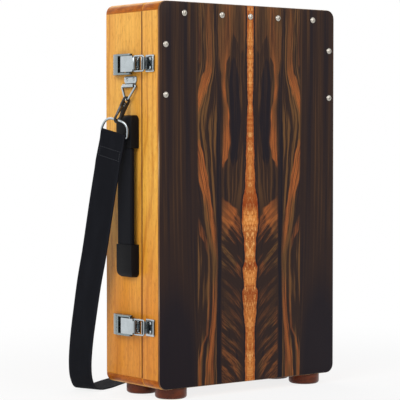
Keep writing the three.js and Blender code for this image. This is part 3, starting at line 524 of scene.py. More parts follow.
POOLS = [
    [(0.56, 0.27, 0.0, 0.0), (0.6, 0.27, 0.08, 1.0), (0.7, 0.26, 0.11, 1.0), (0.8, 0.27, 0.1, 1.0),
     (0.85, 0.28, 0.05, 0.9), (0.87, 0.28, 0.0, 0.0)],
    [(0.0, 0.53, 0.05, 1.0), (0.3, 0.525, 0.04, 1.0), (0.5, 0.53, 0.045, 1.0), (0.7, 0.535, 0.045, 1.0),
     (0.8, 0.55, 0.035, 1.0), (0.86, 0.57, 0.02, 0.9), (1.0, 0.58, 0.018, 0.8)],
]
SAPWOOD_BAND = [(height, 0.0, half, 1.0) for height, half in SAPWOOD]
# The tapa's layers behind its face, by their share of its thickness, and the streaks in them
TAPA_THICKNESS = 0.003
TAPA_LAYERS = [
    (0.0, shade(60, 42, 38)), (0.32, shade(60, 42, 38)), (0.36, shade(222, 190, 146)),
    (0.62, shade(216, 180, 134)), (0.66, shade(136, 66, 40)), (1.0, shade(120, 60, 38))]
LAYER_STREAK = shade(78, 38, 24)
LAYER_FIBRE = shade(58, 28, 18)


def guide(graph, up, stops):
    """Distance in millimetres from the middle line to a guide of the figure."""
    return graph.ramp(up, stops, "CARDINAL") * FIGURE_UNIT


def band(graph, across, up, stops, softness):
    """Mask of one band of the figure."""
    return graph.group("veneer_band", {
        "Across": across, "Profile": graph.ramp(up, stops, "EASE"), "Softness": softness})["Mask"]


def feather_mask(graph, across, height, up):
    """Strokes that fall from the leaf's dark joint towards the sapwood and steepen as they near it."""
    climb = height - (across / 50.0).clamped() ** 0.48 * 72.0
    spot = graph.join(climb * 0.1, across * 0.02, 0.0)
    dull = graph.join(climb * 0.03, across * 0.03, 4.0).noise(detail=1)
    stroke = spot.noise(1.0, 3, 0.55).step(0.45, 0.57) * spot.noise(4.4, 3, 0.6).step(0.4, 0.58, 0.3, 1.15)
    stroke = stroke * dull.step(0.36, 0.6, 0.45, 1.0)
    spread = across.step(49.5, 46.5) * across.step(9.0, 22.0, 0.1, 1.0)
    return (stroke * spread * graph.ramp(up, FEATHER_STRENGTH)).clamped()


def sapwood_colour(graph, flat, up, looks):
    """Pale stripe with redder clouds and fine flecks across it."""
    flecks = flat.noise((420, 1, 150), 3, 0.7)
    ripples = flat.noise((70, 1, 420), 2, 0.6)
    clouds = flat.noise((60, 1, 34), 3, 0.6)
    cloudy = graph.highest(clouds.step(0.5, 0.64, 0.0, 0.7), graph.ramp(up, SAPWOOD_RED))
    sap = graph.mix(cloudy, looks.sap, looks.sap_red)
    for mask in (flecks.step(0.52, 0.66, 0.0, 0.7), ripples.step(0.5, 0.66, 0.0, 0.5)):
        sap = sap.towards(looks.sap_red, mask)
    return sap.towards(looks.sap_pale, flecks.step(0.5, 0.38) * clouds.step(0.56, 0.42, 0.25, 0.85))


def side_leaf_colour(graph, flat, across, up, looks):
    """Dark outer leaves: upright streaks over a blue-black pool in each lower corner."""
    pool = graph.math("SQRT", ((across - 124.0) / 34.0) ** 2.0 + ((up - 0.02) / 0.24) ** 2.0)
    lean = (1.0 - up) ** 3.0 * 0.012
    drift = graph.join(across * 0.001 + lean, 0.0, flat.split()[2])
    lines = (drift.noise((70, 1, 2.2), 2) - 0.5) * 0.5 + drift.noise((230, 1, 3.6), 4, 0.6)
    strength = pool.step(1.9, 1.0) * -0.24 + 0.34
    ground = graph.mix(lines.step(0.5, 0.7) * strength, looks.ground, looks.moss)
    ground = ground.towards(looks.ink, lines.step(0.5, 0.3, 0.0, 0.75))
    return ground.towards(looks.ink, pool.step(1.3, 0.7, 0.0, 0.9))


def middle_leaf_colour(graph, flat, across, height, up, looks):
    """The figured leaf: grain that flows between its guides, flames, dark pools and the feather below."""
    sway = flat.noise((26, 1, 15), 3, 0.55) - 0.5
    ripple = flat.noise((160, 1, 60), 2) - 0.5
    warped = across + (sway * 6.0 + ripple * 1.2)
    flow = graph.group("figure_flow", {
        "Across": warped, "Sapwood": guide(graph, up, SAPWOOD), "Inner": guide(graph, up, INNER_GUIDE),
        "Outer": guide(graph, up, OUTER_GUIDE)})["Flow"]
    lines = graph.join(flow * 7.0, 0.0, up * 3.5).noise(roughness=0.6)
    threads = graph.join(flow * 26.0, 3.0, up * 6.0).noise()
    hairs = graph.join(flow * 75.0, 9.0, up * 14.0).noise()
    free = graph.highest(up.step(0.40, 0.52) * 0.45, across.step(52.0, 58.0) * 0.95)
    moss = lines.step(0.47, 0.6) * free
    flame = graph.highest(*(band(graph, warped, up, stops, 1.8) for stops in FLAMES))
    flame = flame * threads.step(0.4, 0.56, 0.25, 1.0) * hairs.step(0.4, 0.58, 0.5, 1.0)
    flame = flame * lines.step(0.3, 0.5, 0.55, 1.0)
    feather = feather_mask(graph, across, height, up)
    eye = band(graph, warped, up, EYE, 5.0) * (feather * 0.75 + 0.4)
    flame = graph.highest(flame, eye * across.step(49.5, 46.5))
    pool = graph.highest(*(band(graph, warped, up, stops, 2.0) for stops in POOLS))
    warm = flat.noise((34, 1, 9), 2).step(0.36, 0.56) * up.step(0.9, 0.76, 0.35, 1.0)
    bright = graph.mix(warm, looks.moss, looks.flame)
    body = graph.mix(lines.step(0.44, 0.3, 0.0, 0.7), looks.ground, looks.ink).towards(looks.ink, pool)
    body = body.towards(looks.moss, moss * (pool * -0.75 + 1.0))
    stroke = bright.towards(looks.moss, up.step(0.34, 0.24, 0.0, 0.55))
    return body.towards(stroke, feather * 0.78).towards(bright, flame)


def veneer_material(looks):
    """Book-matched veneer, drawn by the distance from the middle line, which mirrors it."""
    graph = new_material("book_matched_veneer", Coat_Roughness=0.08, Specular_IOR_Level=0.05)
    place = graph.coordinate("Object")
    x, y, z = place.split()
    off_middle = abs(x - (CASE_LEFT + CASE_WIDTH / 2))
    across = off_middle * 1000.0
    height = z * 1000.0
    up = (z - CASE_FOOT) / CASE_HEIGHT
    flat = graph.join(off_middle, 0.0, z)
    fibre = flat.noise((900, 1, 16), 3, 0.6)
    joint = 1000 * looks.leaf
    side = side_leaf_colour(graph, flat, across, up, looks)
    middle = middle_leaf_colour(graph, flat, across, height, up, looks)
    body = side.towards(middle, across.step(joint + 0.3, joint - 0.3))
    body = body.towards(looks.ink, fibre.step(0.5, 0.8, 0.0, 0.3))
    wavy = across + (flat.noise((90, 1, 110), 2, 0.6) - 0.5) * 3.0
    core = band(graph, wavy + 1.9, up, SAPWOOD_BAND, 2.2)
    sapwood = sapwood_colour(graph, flat, up, looks).towards(looks.sap_red, core * -0.5 + 0.5)
    body = body.towards(looks.ink, band(graph, wavy - 2.6, up, SAPWOOD_BAND, 1.4))
    body = body.towards(sapwood, band(graph, wavy, up, SAPWOOD_BAND, 0.6))
    depth = y - CASE_FRONT
    face = depth.step(0.0009, 0.0006)
    sweep = place.noise((60, 1, 5), 4, 0.6, 0.6)
    layer = graph.ramp(depth / TAPA_THICKNESS, TAPA_LAYERS)
    layer = layer.towards(LAYER_STREAK, sweep.step(0.4, 0.62, 0.0, 0.75))
    layer = layer.towards(LAYER_FIBRE, fibre.step(0.5, 0.7, 0.0, 0.5))
    mask, marks = graph.worn(place, 0.4)
    graph.dress(
        layer.towards(body, face), fibre * 0.1 + (mask * 0.2 + 0.3), fibre * 0.5 + marks,
        0.00006, 0.5, face * (mask * -0.05 + 0.06))


def ply_material(looks):
    """Back panel: rotary-cut face veneer, and its layers where the sound hole and edges show them."""
    graph = new_material("birch_ply", Coat_Roughness=0.2, Specular_IOR_Level=0.25)
    place = graph.coordinate("Object")
    grain, relief, gloss = graph.grained(
        place, looks.ply, looks.dark, looks.raw, lines=26.0, strength=0.5, pores=0.25)
    layer = place.split()[1].wave(0.0016) + place.noise((500, 200, 500), 2)
    layers = graph.mix(layer.step(0.2, 0.8), looks.end, looks.raw)
    is_face = abs(graph.coordinate("Normal").split()[1]).step(0.5, 0.8)
    mask, marks = graph.worn(place, 0.5)
    graph.dress(
        layers.towards(grain, is_face), mask * 0.2 + 0.42 + gloss, relief + marks, 0.0001, 0.5,
        is_face * 0.2)


# Painted dark reflection, towards which metal faces that look forwards or down are darkened
PAINTED_DARK_REFLECTION = shade(52, 46, 40)


def metal_material(name, tint, base, lines, metallic=1.0, coat=0.0, dull=0.0):
    """Brushed metal. Where dull is set, faces that look forwards or down are darkened towards a painted dark
    reflection.
    """
    graph = new_material(name, Metallic=metallic, Coat_Roughness=0.1, Specular_IOR_Level=0.2)
    place = graph.coordinate("Object")
    brushed = graph.group("metal_brush", {"Vector": place, "Base": base, "Lines": lines})
    mask, marks = graph.worn(place, 0.35)
    toned = graph.mix(1.0, tint, brushed["Tone"], "MULTIPLY")
    if dull:
        _, forward, upward = graph.coordinate("Normal").split()
        # Painted reflection: faces looking forwards or down take the dark reflected colour
        reflection_shade_faces = graph.highest(forward.step(-0.35, -0.9), upward.step(-0.35, -0.9))
        toned = toned.towards(PAINTED_DARK_REFLECTION, reflection_shade_faces * dull)
    graph.dress(
        toned, mask * 0.15 + brushed["Roughness"], brushed["Height"] + marks, 0.00003, 0.4,
        mask * -coat + coat if coat else None)


def snare_material(tint):
    """Fine coiled wire: the turns of the coil are drawn as a close wave up each strand, with painted shade
    in the grooves between the turns.
    """
    graph = new_material("coiled_snare_wire", Metallic=1.0)
    place = graph.coordinate("Object")
    x, _, z = place.split()
    turn = (x * 0.5 + z).wave(0.0011)
    brushed = graph.group("metal_brush", {"Vector": place, "Base": 0.25, "Lines": 0.1})
    # Painted shade in the grooves between the coil's turns
    toned = graph.mix(1.0, tint, turn.step(-0.9, 0.2, 0.35, 1.0), "MULTIPLY")
    graph.dress(toned, brushed["Roughness"], turn, 0.0002, 0.9)


def plastic_material(name, tint, base, pebble):
    """Moulded plastic with a fine pebbled skin that handling has polished in places."""
    graph = new_material(name, Specular_IOR_Level=0.07)
    place = graph.coordinate("Object")
    skin = place.noise(pebble, 2, 0.6)
    mask, marks = graph.worn(place, 0.6)
    body = graph.mix(skin.step(0.5, 0.8, 0.0, 0.5), tint, lightened(tint, 1.7))
    graph.dress(body, skin * 0.15 + (mask * -0.12 + base), skin + marks, 0.00008, 0.5)


def webbing_material(looks):
    graph = new_material(
        "black_webbing", Sheen_Weight=0.02, Sheen_Roughness=0.4, Specular_IOR_Level=0.05)
    uv = graph.out("UVMap", uv_map="weave")
    weave = graph.group("webbing_weave", {"UV": uv, "Rib": looks.rib, "Width": looks.width})
    body = graph.mix(weave["Tone"], looks.cloth, lightened(looks.cloth, 2.6))
    graph.dress(body, weave["Height"].step(-0.4, 1.4, 0.92, 0.68), weave["Height"], 0.0003, 0.8)


def thread_material(tint):
    graph = new_material("sewing_thread")
    x, y, z = graph.coordinate("Object").split()
    twist = (x + y + z).wave(0.0006)
    body = graph.mix(twist.step(-0.6, 0.8), tint, lightened(tint, 1.8))
    graph.dress(body, twist.step(-1.0, 1.0, 0.75, 0.55), twist, 0.0001, 0.7)


# Modelling helpers

# The distance within which vertices are one, the angle within which faces are one, and the angle
# above which edges are softened
MERGE = 0.000005
FLAT = math.radians(0.4)
SOFTENED = math.radians(38)
# Shares of a screw's rise, recess and shank
DOME_CUT = 0.0001
RECESS_ARM = 0.42
RECESS_PLACE = 0.98
SHANK_CUT = 0.8


def deselect():
    if bpy.context.mode != "OBJECT":
        bpy.ops.object.mode_set(mode="OBJECT")
    bpy.ops.object.select_all(action="DESELECT")


def choose(*pieces):
    deselect()
    for piece in pieces:
        piece.select_set(True)
    bpy.context.view_layer.objects.active = pieces[0]


def new_piece(name, data):
    piece = bpy.data.objects.new(name, data)
    bpy.context.scene.collection.objects.link(piece)
    choose(piece)
    return piece


@contextmanager
def editing():
    """Edit mode on the active piece with all of it selected."""
    bpy.ops.object.mode_set(mode="EDIT")
    bpy.ops.mesh.select_all(action="SELECT")
    yield
    bpy.ops.object.mode_set(mode="OBJECT")


def smoothed(degrees):
    """Smooth shading on the active piece, with edges above the angle kept sharp."""
    bpy.ops.object.shade_smooth_by_angle(angle=math.radians(degrees))


def modify(piece, kind, **settings):
    """Adds a modifier to the active piece and applies it."""
    modifier = piece.modifiers.new(kind.lower(), kind)
    for key, value in settings.items():
        setattr(modifier, key, value)
    bpy.ops.object.modifier_apply(modifier=modifier.name)


def settle(piece, name, material, body):
    """Names a finished piece, puts its place into its mesh and lets it ride on its body."""
    choose(piece)
    bpy.ops.object.transform_apply(location=True, rotation=True, scale=True)
    piece.name = name
    piece.data.name = name
    piece.data.materials.clear()
    piece.data.materials.append(bpy.data.materials[material])
    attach(piece, body)
    return piece


def body_of(node):
    return frame["nodes"][node]["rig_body"]


def refined(node, material, bevel=0.0003, segments=2, smooth=40):
    """A merged copy of a CAD node with softened edges, which stands for that node."""
    piece = new_piece(node + "_finished", frame["nodes"][node].data.copy())
    bpy.ops.mesh.customdata_custom_splitnormals_clear()
    with editing():
        bpy.ops.mesh.remove_doubles(threshold=MERGE)
        bpy.ops.mesh.dissolve_limited(angle_limit=FLAT)
    if bevel:
        modify(
            piece, "BEVEL", width=bevel, segments=segments, limit_method="ANGLE", angle_limit=SOFTENED,
            use_clamp_overlap=True)
    with editing():
        bpy.ops.mesh.quads_convert_to_tris(ngon_method="BEAUTY")
    smoothed(smooth)
    settle(piece, node + "_finished", material, body_of(node))
    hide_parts(node)


def bent_loop(corners, origin, across, along, steps=9):
    """A closed flat wire path whose corners, (x, y, bend), are rounded, as points in the frame."""
    points = []
    for index, (x, y, bend) in enumerate(corners):
        corner = Vector((x, y))
        before = Vector(corners[index - 1][:2]) - corner
        after = Vector(corners[(index + 1) % len(corners)][:2]) - corner
        start = corner + before.normalized() * bend
        end = corner + after.normalized() * bend
        for step in range(steps + 1):
            t = step / steps
            points.append((1 - t) ** 2 * start + 2 * t * (1 - t) * corner + t * t * end)
    return [origin + across * p.x + along * p.y for p in points]


def wire(node, points, radius):
    """A round closed wire of plated steel along the points, which stands for a CAD node."""
    path = bpy.data.curves.new(node, "CURVE")
    path.dimensions = "3D"
    spline = path.splines.new("POLY")
    spline.points.add(len(points) - 1)
    for place, point in zip(spline.points, points):
        place.co = (*point, 1.0)
    spline.use_cyclic_u = True
    path.bevel_depth = radius
    path.bevel_resolution = 5
    new_piece(node + "_finished", path)
    bpy.ops.object.convert(target="MESH")
    piece = bpy.context.view_layer.objects.active
    with editing():
        bpy.ops.mesh.remove_doubles(threshold=MERGE)
        bpy.ops.mesh.normals_make_consistent(inside=False)
    smoothed(60)
    settle(piece, node + "_finished", "plated_steel", body_of(node))
    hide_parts(node)


def domed_screw(radius, rise, recess, shank_radius=0.0, shank_length=0.0):
    """A screw at the origin whose domed head rises along +Z, with a cross recess cut in it."""
    deselect()
    bpy.ops.mesh.primitive_uv_sphere_add(segments=28, ring_count=16, radius=radius)
    head = bpy.context.object
    head.scale = (1, 1, rise / radius)
    bpy.ops.object.transform_apply(scale=True)
    with editing():
        bpy.ops.mesh.bisect(
            plane_co=(0, 0, DOME_CUT * rise), plane_no=(0, 0, 1), clear_inner=True, use_fill=True)
    deselect()
    bpy.ops.mesh.primitive_cube_add(size=1)
    cutter = bpy.context.object
    cutter.dimensions = (2 * recess, recess * RECESS_ARM, rise)
    bpy.ops.object.transform_apply(scale=True)
    with editing():
        bpy.ops.mesh.duplicate()
        bpy.ops.transform.rotate(value=math.radians(90), orient_axis="Z", center_override=(0, 0, 0))
        bpy.ops.mesh.select_all(action="SELECT")
        bpy.ops.transform.translate(value=(0, 0, rise * RECESS_PLACE))
    choose(head)
    modify(head, "BOOLEAN", operation="DIFFERENCE", solver="EXACT", use_self=True, object=cutter)
    bpy.data.objects.remove(cutter)
    if shank_length:
        deselect()
        bpy.ops.mesh.primitive_cylinder_add(
            vertices=16, radius=shank_radius, depth=shank_length, location=(0, 0, -shank_length / 2))
        shank = bpy.context.object
        with editing():
            bpy.ops.mesh.bisect(plane_co=(0, 0, -shank_length * SHANK_CUT), plane_no=(0, 0, 1))
        choose(head, shank)
        bpy.ops.object.join()
    choose(head)
    smoothed(35)
    return head


def placed(place, direction, turn):
    """The place of a model whose Z looks along the direction, turned about it."""
    facing = Vector(direction).to_track_quat("Z", "Y").to_matrix().to_4x4()
    return Matrix.Translation(place) @ facing @ Matrix.Rotation(turn, 4, "Z")


def copies(model, places, name, material, body):
    """Copies of a model, each with its own mesh, set at their places, joined and settled as one piece."""
    made = []
    for place in places:
        copy = model.copy()
        copy.data = model.data.copy()
        bpy.context.scene.collection.objects.link(copy)
        copy.matrix_world = place
        made.append(copy)
    bpy.context.view_layer.update()
    choose(*made)
    bpy.ops.object.transform_apply(location=True, rotation=True, scale=True)
    if len(made) > 1:
        bpy.ops.object.join()
    return settle(bpy.context.view_layer.objects.active, name, material, body)


# Hardware, in millimetres. A wall turns (along it, out of it, up) into a point of the frame


def on_left(depth, height):
    return lambda x, out, z: in_case(-out, depth + x, height + z)


def on_right(depth, height):
    return lambda x, out, z: in_case(1000 * CASE_WIDTH + out, depth - x, height + z)


def on_back(across, height):
    return lambda x, out, z: in_case(across + x, 1000 * CASE_DEPTH + out, height + z)


def d_ring_axes(yaw, tilt):
    """Across and down of a D-ring as it hangs, in its wall's own frame."""
    yaw, tilt = math.radians(yaw), math.radians(tilt)
    across = Vector((math.cos(yaw) * math.cos(tilt), math.sin(yaw) * math.cos(tilt), math.sin(tilt)))
    normal = Vector((math.sin(yaw), -math.cos(yaw), 0))
    return across, across.cross(normal)


# Latches and hinges share their heights on opposite walls
LATCH_HEIGHTS = (("upper", 420), ("lower", 80))
LOOP_BACK = Vector((40, 11, 0))
LOOP_END = Vector((22.8, 8, 0))
LOOP_HALF_WIDTH = 9.7
LOOP_BEND = 2.6
LOOP_WIRE = 1.2
LATCH_SCREWS = (
    ("keeper", "front_shell", ((18, -5.5), (18, 5.5))),
    ("base", "rear_shell", ((45.5, -4.6), (45.5, 4.6), (69.5, -4.6), (69.5, 4.6))))
HINGE_SCREWS = ((12.5, -21), (16.5, 0), (12.5, 21))
CLIP_SCREWS = (-7.5, 7.5)
HOOK_RIVETS = (6.4, 9.6)
# How far the plates under the screws' heads stand out of their walls
HINGE_PLATE = 1.75
LATCH_PLATE = 1.65
CLIP_PLATE = 1.45
SIDE_ANCHOR = (61.5, 400.5)
REAR_ANCHOR = (235, 120)
SIDE_RING_AXES = d_ring_axes(23, 16)
REAR_RING_AXES = d_ring_axes(23, 0)
CLIP_RING_TOP = Vector((0, 3.4, -8))
CLIP_RING_WIRE = 1.6
CLIP_RING_LEAN = math.radians(12.5)
CLIP_RING_CORNERS = [(-16.4, 0, 4.4), (0, 23, 10), (16.4, 0, 4.4)]
RING_APEX = Vector((0, 7.497, -26.48))
HOOK_UP = Vector((0, -0.482, 0.876))
HOOK_HALF_THICKNESS = 1.55
D_RING_TOP = Vector((0, 22.09, -53.03))
D_RING_WIRE = 1.6
D_RING_DROP = 19.3
D_RING_CORNERS = [(-20.9, D_RING_DROP, 4.5), (20.9, D_RING_DROP, 4.5), (17.5, 0, 12), (-17.5, 0, 12)]

# The strap's route and the way its width points, in millimetres in the case, as the CAD strap has them
ROUTE = [
    (-24.3, 66.9, 327), (-25.4, 72, 308), (-26.4, 78, 286), (-28, 88, 243), (-29.2, 105, 172),
    (-30, 115, 136), (-30, 125, 96), (-30, 134, 55), (-28.5, 139.7, 21.6), (-24.8, 142.3, 3),
    (-17.5, 144.7, -9), (-7, 147.8, -12.1), (9.3, 153, -12.4), (36.6, 170, -12.4), (66, 188, -12.4),
    (100, 203, -12.4), (140, 211, -12.4), (180, 207, -12.4), (208, 192, -12.4), (222, 173, -12.4),
    (228, 159, -12.1), (232, 149.5, -7.5), (234.4, 144, 4), (235, 142.3, 24), (235, 142, 45.4),
]
WIDTHS = [
    (-0.376, 0.885, 0.276), (-0.38, 0.9, 0.12), (-0.39, 0.92, 0), (-0.39, 0.92, 0), (-0.38, 0.93, 0),
    (-0.36, 0.93, 0), (-0.34, 0.94, 0), (-0.32, 0.95, 0), (-0.3, 0.95, 0), (-0.3, 0.95, 0),
    (-0.3, 0.95, 0), (-0.34, 0.94, 0), (-0.45, 0.89, 0), (-0.53, 0.85, 0), (-0.46, 0.89, 0),
    (-0.32, 0.95, 0), (-0.05, 1, 0), (0.27, 0.96, 0), (0.63, 0.78, 0), (0.84, 0.54, 0),
    (0.92, 0.39, 0), (0.92, 0.39, 0), (0.92, 0.39, 0), (0.92, 0.39, 0), (0.92, 0.39, 0),
]

# The sewn folds of the strap, in metres, and the spacing of the stitches in their own lengths
RING_CLEARANCE = 0.0001
LAYER_GAP = 0.00005
FOLD_START = 0.004
SPREAD_REACH = 0.012
REJOIN = 0.016
SEWN_REACH = 0.014
FOLD_RINGS = 12
EDGE_SOFTNESS = 0.0004
STITCH_WIDTH = 0.0007
STITCH_HEIGHT = 0.0006
STITCH_SPACING = 1.35
STITCH_INSET = 0.0035
END_ROW = 0.0045
INNER_ROW = 0.0165
SIDE_STITCH_PITCH = 0.003


def smooth_route(steps):
    """Points, widths and faces of the strap along a centripetal Catmull-Rom curve through its route."""
    given = [in_case(*point) for point in ROUTE]
    padded = [2 * given[0] - given[1], *given, 2 * given[-1] - given[-2]]
    points, widths = [], []
    for index in range(len(given) - 1):
        p0, p1, p2, p3 = padded[index:index + 4]
        d0, d1, d2 = ((b - a).length ** 0.5 for a, b in ((p0, p1), (p1, p2), (p2, p3)))
        start = ((p1 - p0) / d0 - (p2 - p0) / (d0 + d1) + (p2 - p1) / d1) * d1
        end = ((p2 - p1) / d1 - (p3 - p1) / (d1 + d2) + (p3 - p2) / d2) * d1
        last = index == len(given) - 2
        for step in range(steps + 1 if last else steps):
            t = step / steps
            a, b = 2 * p1 - 2 * p2 + start + end, -3 * p1 + 3 * p2 - 2 * start - end
            points.append(((a * t + b) * t + start) * t + p1)
            widths.append(Vector(WIDTHS[index]).lerp(Vector(WIDTHS[index + 1]), t))
    frames = []
    for index, point in enumerate(points):
        along = (points[min(index + 1, len(points) - 1)] - points[max(index - 1, 0)]).normalized()
        across = (widths[index] - along * widths[index].dot(along)).normalized()
        frames.append((point, across, across.cross(along)))
    return frames


def distances(frames):
    """How far along the webbing each of its rings lies."""
    along = [0.0]
    for before, after in zip(frames, frames[1:]):
        along.append(along[-1] + (after[0] - before[0]).length)
    return along


def fold_round(wall, axes, frames, looks):
    """Rings of webbing from the sewn tail up its back, over a D-ring's bar and down to the strap's line."""
    _, hang = axes
    centre = wall(*(D_RING_TOP + hang * D_RING_DROP))
    down = (wall(*(D_RING_TOP + hang * (D_RING_DROP + 1))) - centre).normalized()
    across = frames[0][1]
    radius = D_RING_WIRE / 1000 + looks.thickness / 2 + RING_CLEARANCE
    face = across.cross(down).normalized()
    if face.dot(frames[1][2]) < 0:
        face = -face
    gap = looks.thickness / 2 + LAYER_GAP
    tail, lead = [], []
    for (point, width, normal), run in zip(frames, distances(frames)):
        if run < FOLD_START:
            continue
        spread = gap + (radius - gap) * max(0.0, 1 - run / SPREAD_REACH) ** 2
        if run < looks.fold:
            tail.append((point - normal * spread, width, normal))
        if run < looks.fold + REJOIN:
            rest = min(1.0, max(0.0, (run - looks.fold) / REJOIN))
            lead.append((point + normal * spread * (1 - rest * rest * (3 - 2 * rest)), width, normal))
    turn = []
    for step in range(FOLD_RINGS + 1):
        angle = math.pi * (1 - step / FOLD_RINGS)
        offset = face * math.cos(angle) - down * math.sin(angle)
        turn.append((centre + offset * radius, across, offset))
    return [(point, width, -normal) for point, width, normal in reversed(tail)] + turn + lead


def after_fold(frames, looks):
    """Number of the first ring that the fold's own rings leave to the strap."""
    start = frames[0][0]
    spare = 2
    reach = looks.fold + SEWN_REACH
    return spare + next(index for index, ring in enumerate(frames) if (ring[0] - start).length > reach)


def webbing_mesh(name, rings, looks):
    """A flat woven band through the rings, with its UV map in metres: across it, and along it."""
    half, thick = looks.width / 2, looks.thickness / 2
    soft = half - EDGE_SOFTNESS
    lower = [(x, -thick) for x in (-soft, -half * 0.5, 0.0, half * 0.5, soft)]
    upper = [(-x, thick) for x, _ in lower]
    edge = thick * 0.4
    section = [*lower, (half, -edge), (half, edge), *upper, (-half, edge), (-half, -edge)]
    sides = len(section)
    points = [tuple(point + width * x + normal * y) for point, width, normal in rings for x, y in section]
    faces = []
    for start in range(0, len(points) - sides, sides):
        for k in range(sides):
            a, b = start + k, start + (k + 1) % sides
            faces.append((a, b, b + sides, a + sides))
    faces.append(tuple(reversed(range(sides))))
    faces.append(tuple(range(len(points) - sides, len(points))))
    mesh = bpy.data.meshes.new(name)
    mesh.from_pydata(points, [], faces)
    mesh.validate()
    layer = mesh.uv_layers.new(name="weave")
    reach = distances(rings)
    for loop in mesh.loops:
        ring, corner = divmod(loop.vertex_index, sides)
        layer.data[loop.index].uv = (section[corner][0] + half, reach[ring])
    return mesh


def sew(prefix, frames, looks):
    """Two rows of stitches across the strap, and one down each side of its fold, on both faces."""
    deselect()
    bpy.ops.mesh.primitive_uv_sphere_add(segments=8, ring_count=6, radius=0.5)
    stitch = bpy.context.object
    stitch.scale = (looks.stitch, STITCH_WIDTH, STITCH_HEIGHT)
    bpy.ops.object.transform_apply(scale=True)
    smoothed(60)
    along = distances(frames)
    inset = looks.width / 2 - STITCH_INSET
    count = int(2 * inset / (looks.stitch * STITCH_SPACING))
    places = []

    def put(distance, x, face, crosswise):
        index = max(i for i in range(len(along)) if along[i] <= distance)
        share = (distance - along[index]) / (along[index + 1] - along[index])
        point, width, normal = frames[index]
        point = point.lerp(frames[index + 1][0], share)
        normal = normal * face
        direction = width if crosswise else width.cross(normal)
        turned = Matrix((direction, normal.cross(direction), normal)).transposed().to_4x4()
        lift = looks.thickness + RING_CLEARANCE
        places.append(Matrix.Translation(point + width * x + normal * lift) @ turned)

    for face in (-1, 1):
        for row in (END_ROW, INNER_ROW):
            for k in range(count + 1):
                put(looks.fold - row, -inset + k * 2 * inset / count, face, True)
        for x in (-inset, inset):
            for k in range(1, 4):
                put(looks.fold - INNER_ROW + k * SIDE_STITCH_PITCH, x, face, False)
    sewn = copies(stitch, places, f"{prefix}_strap_stitches", "sewing_thread", "rear_shell")
    bpy.data.objects.remove(stitch)
    return sewn


# Operators

CAMERA_PLACE = (-1.45112, -1.8307, 0.33473)
CAMERA_TURN = (88.03, 0, -37.79)
CAMERA_SENSOR = 36
CAMERA_REACH = 50
FLOOR_SIZE = 14
LAMP_AIM = Vector((0, 0, 0.26))
LAMPS = (
    ("key_lamp", "key", (-2.3, -1.0, 1.7), 1.6), ("fill_lamp", "fill", (0.9, -2.6, 1.5), 1.8),
    ("rear_lamp", "rim", (0.6, 1.9, 2.2), 1.5))


def seen_by_eye(graph):
    """1 for what the camera sees, straight, in gloss or through glass, and 0 for what only lights."""
    rays = ("Is Camera Ray", "Is Glossy Ray", "Is Transmission Ray")
    return graph.highest(*(graph.out("LightPath", output=ray) for ray in rays))


class CAJON_OT_stage(bpy.types.Operator):
    """Camera at the photograph's angle, pale floor and soft studio light"""
    bl_idname = "cajon.stage"
    bl_label = "Stage"

    def execute(self, context):
        looks = context.scene.cajon_stage
        scene = context.scene
        deselect()
        turns = [math.radians(turn) for turn in CAMERA_TURN]
        bpy.ops.object.camera_add(location=CAMERA_PLACE, rotation=turns)
        camera = context.object
        camera.name = "view_camera"
        camera.data.lens = 1000 * looks.lens
        camera.data.sensor_width = CAMERA_SENSOR
        camera.data.clip_end = CAMERA_REACH
        scene.camera = camera
        self.lay_floor(context, looks.floor)
        world = bpy.data.worlds.new("studio_surroundings")
        world.use_nodes = True
        scene.world = world
        graph = Graph(world.node_tree)
        strength = seen_by_eye(graph) * (1.0 - looks.world) + looks.world
        graph.feed(world.node_tree.nodes["Background"].inputs, {"Color": WHITE, "Strength": strength})
        for name, power, place, size in LAMPS:
            deselect()
            bpy.ops.object.light_add(type="AREA", location=place)
            lamp = context.object
            lamp.name = name
            lamp.data.shape = "DISK"
            lamp.data.size = size
            lamp.data.energy = getattr(looks, power)
            lamp.rotation_euler = (LAMP_AIM - Vector(place)).to_track_quat("-Z", "Y").to_euler()
        scene.view_settings.view_transform = "Standard"
        return {"FINISHED"}

    def lay_floor(self, context, tint):
        """A floor that takes soft shadows and fades to white away from the case."""
        deselect()
        bpy.ops.mesh.primitive_plane_add(size=FLOOR_SIZE, location=(0, 0, 0))
        floor = context.object
        floor.name = "studio_floor"
        graph = new_material("pale_floor", Roughness=0.9)
        place = graph.coordinate("Object")
        speckled = graph.mix(place.noise(140, 2).step(0.3, 0.7, 0.0, 0.03), tint, WHITE)
        graph.feed(graph.shader.inputs, {"Base Color": speckled})
        away = graph.out("VectorMath", {0: place}, "Value", operation="LENGTH")
        glowing = seen_by_eye(graph) * away.step(0.25, 0.9, 0.82, 1.0)
        lit = Signal(graph, graph.shader.outputs[0])
        glow = graph.out("Emission", {"Color": WHITE, "Strength": 1.0})
        blend = graph.out("MixShader", {0: glowing, 1: lit, 2: glow})
        graph.feed(graph.tree.nodes["Material Output"].inputs, {"Surface": blend})
        floor.data.materials.append(bpy.data.materials["pale_floor"])


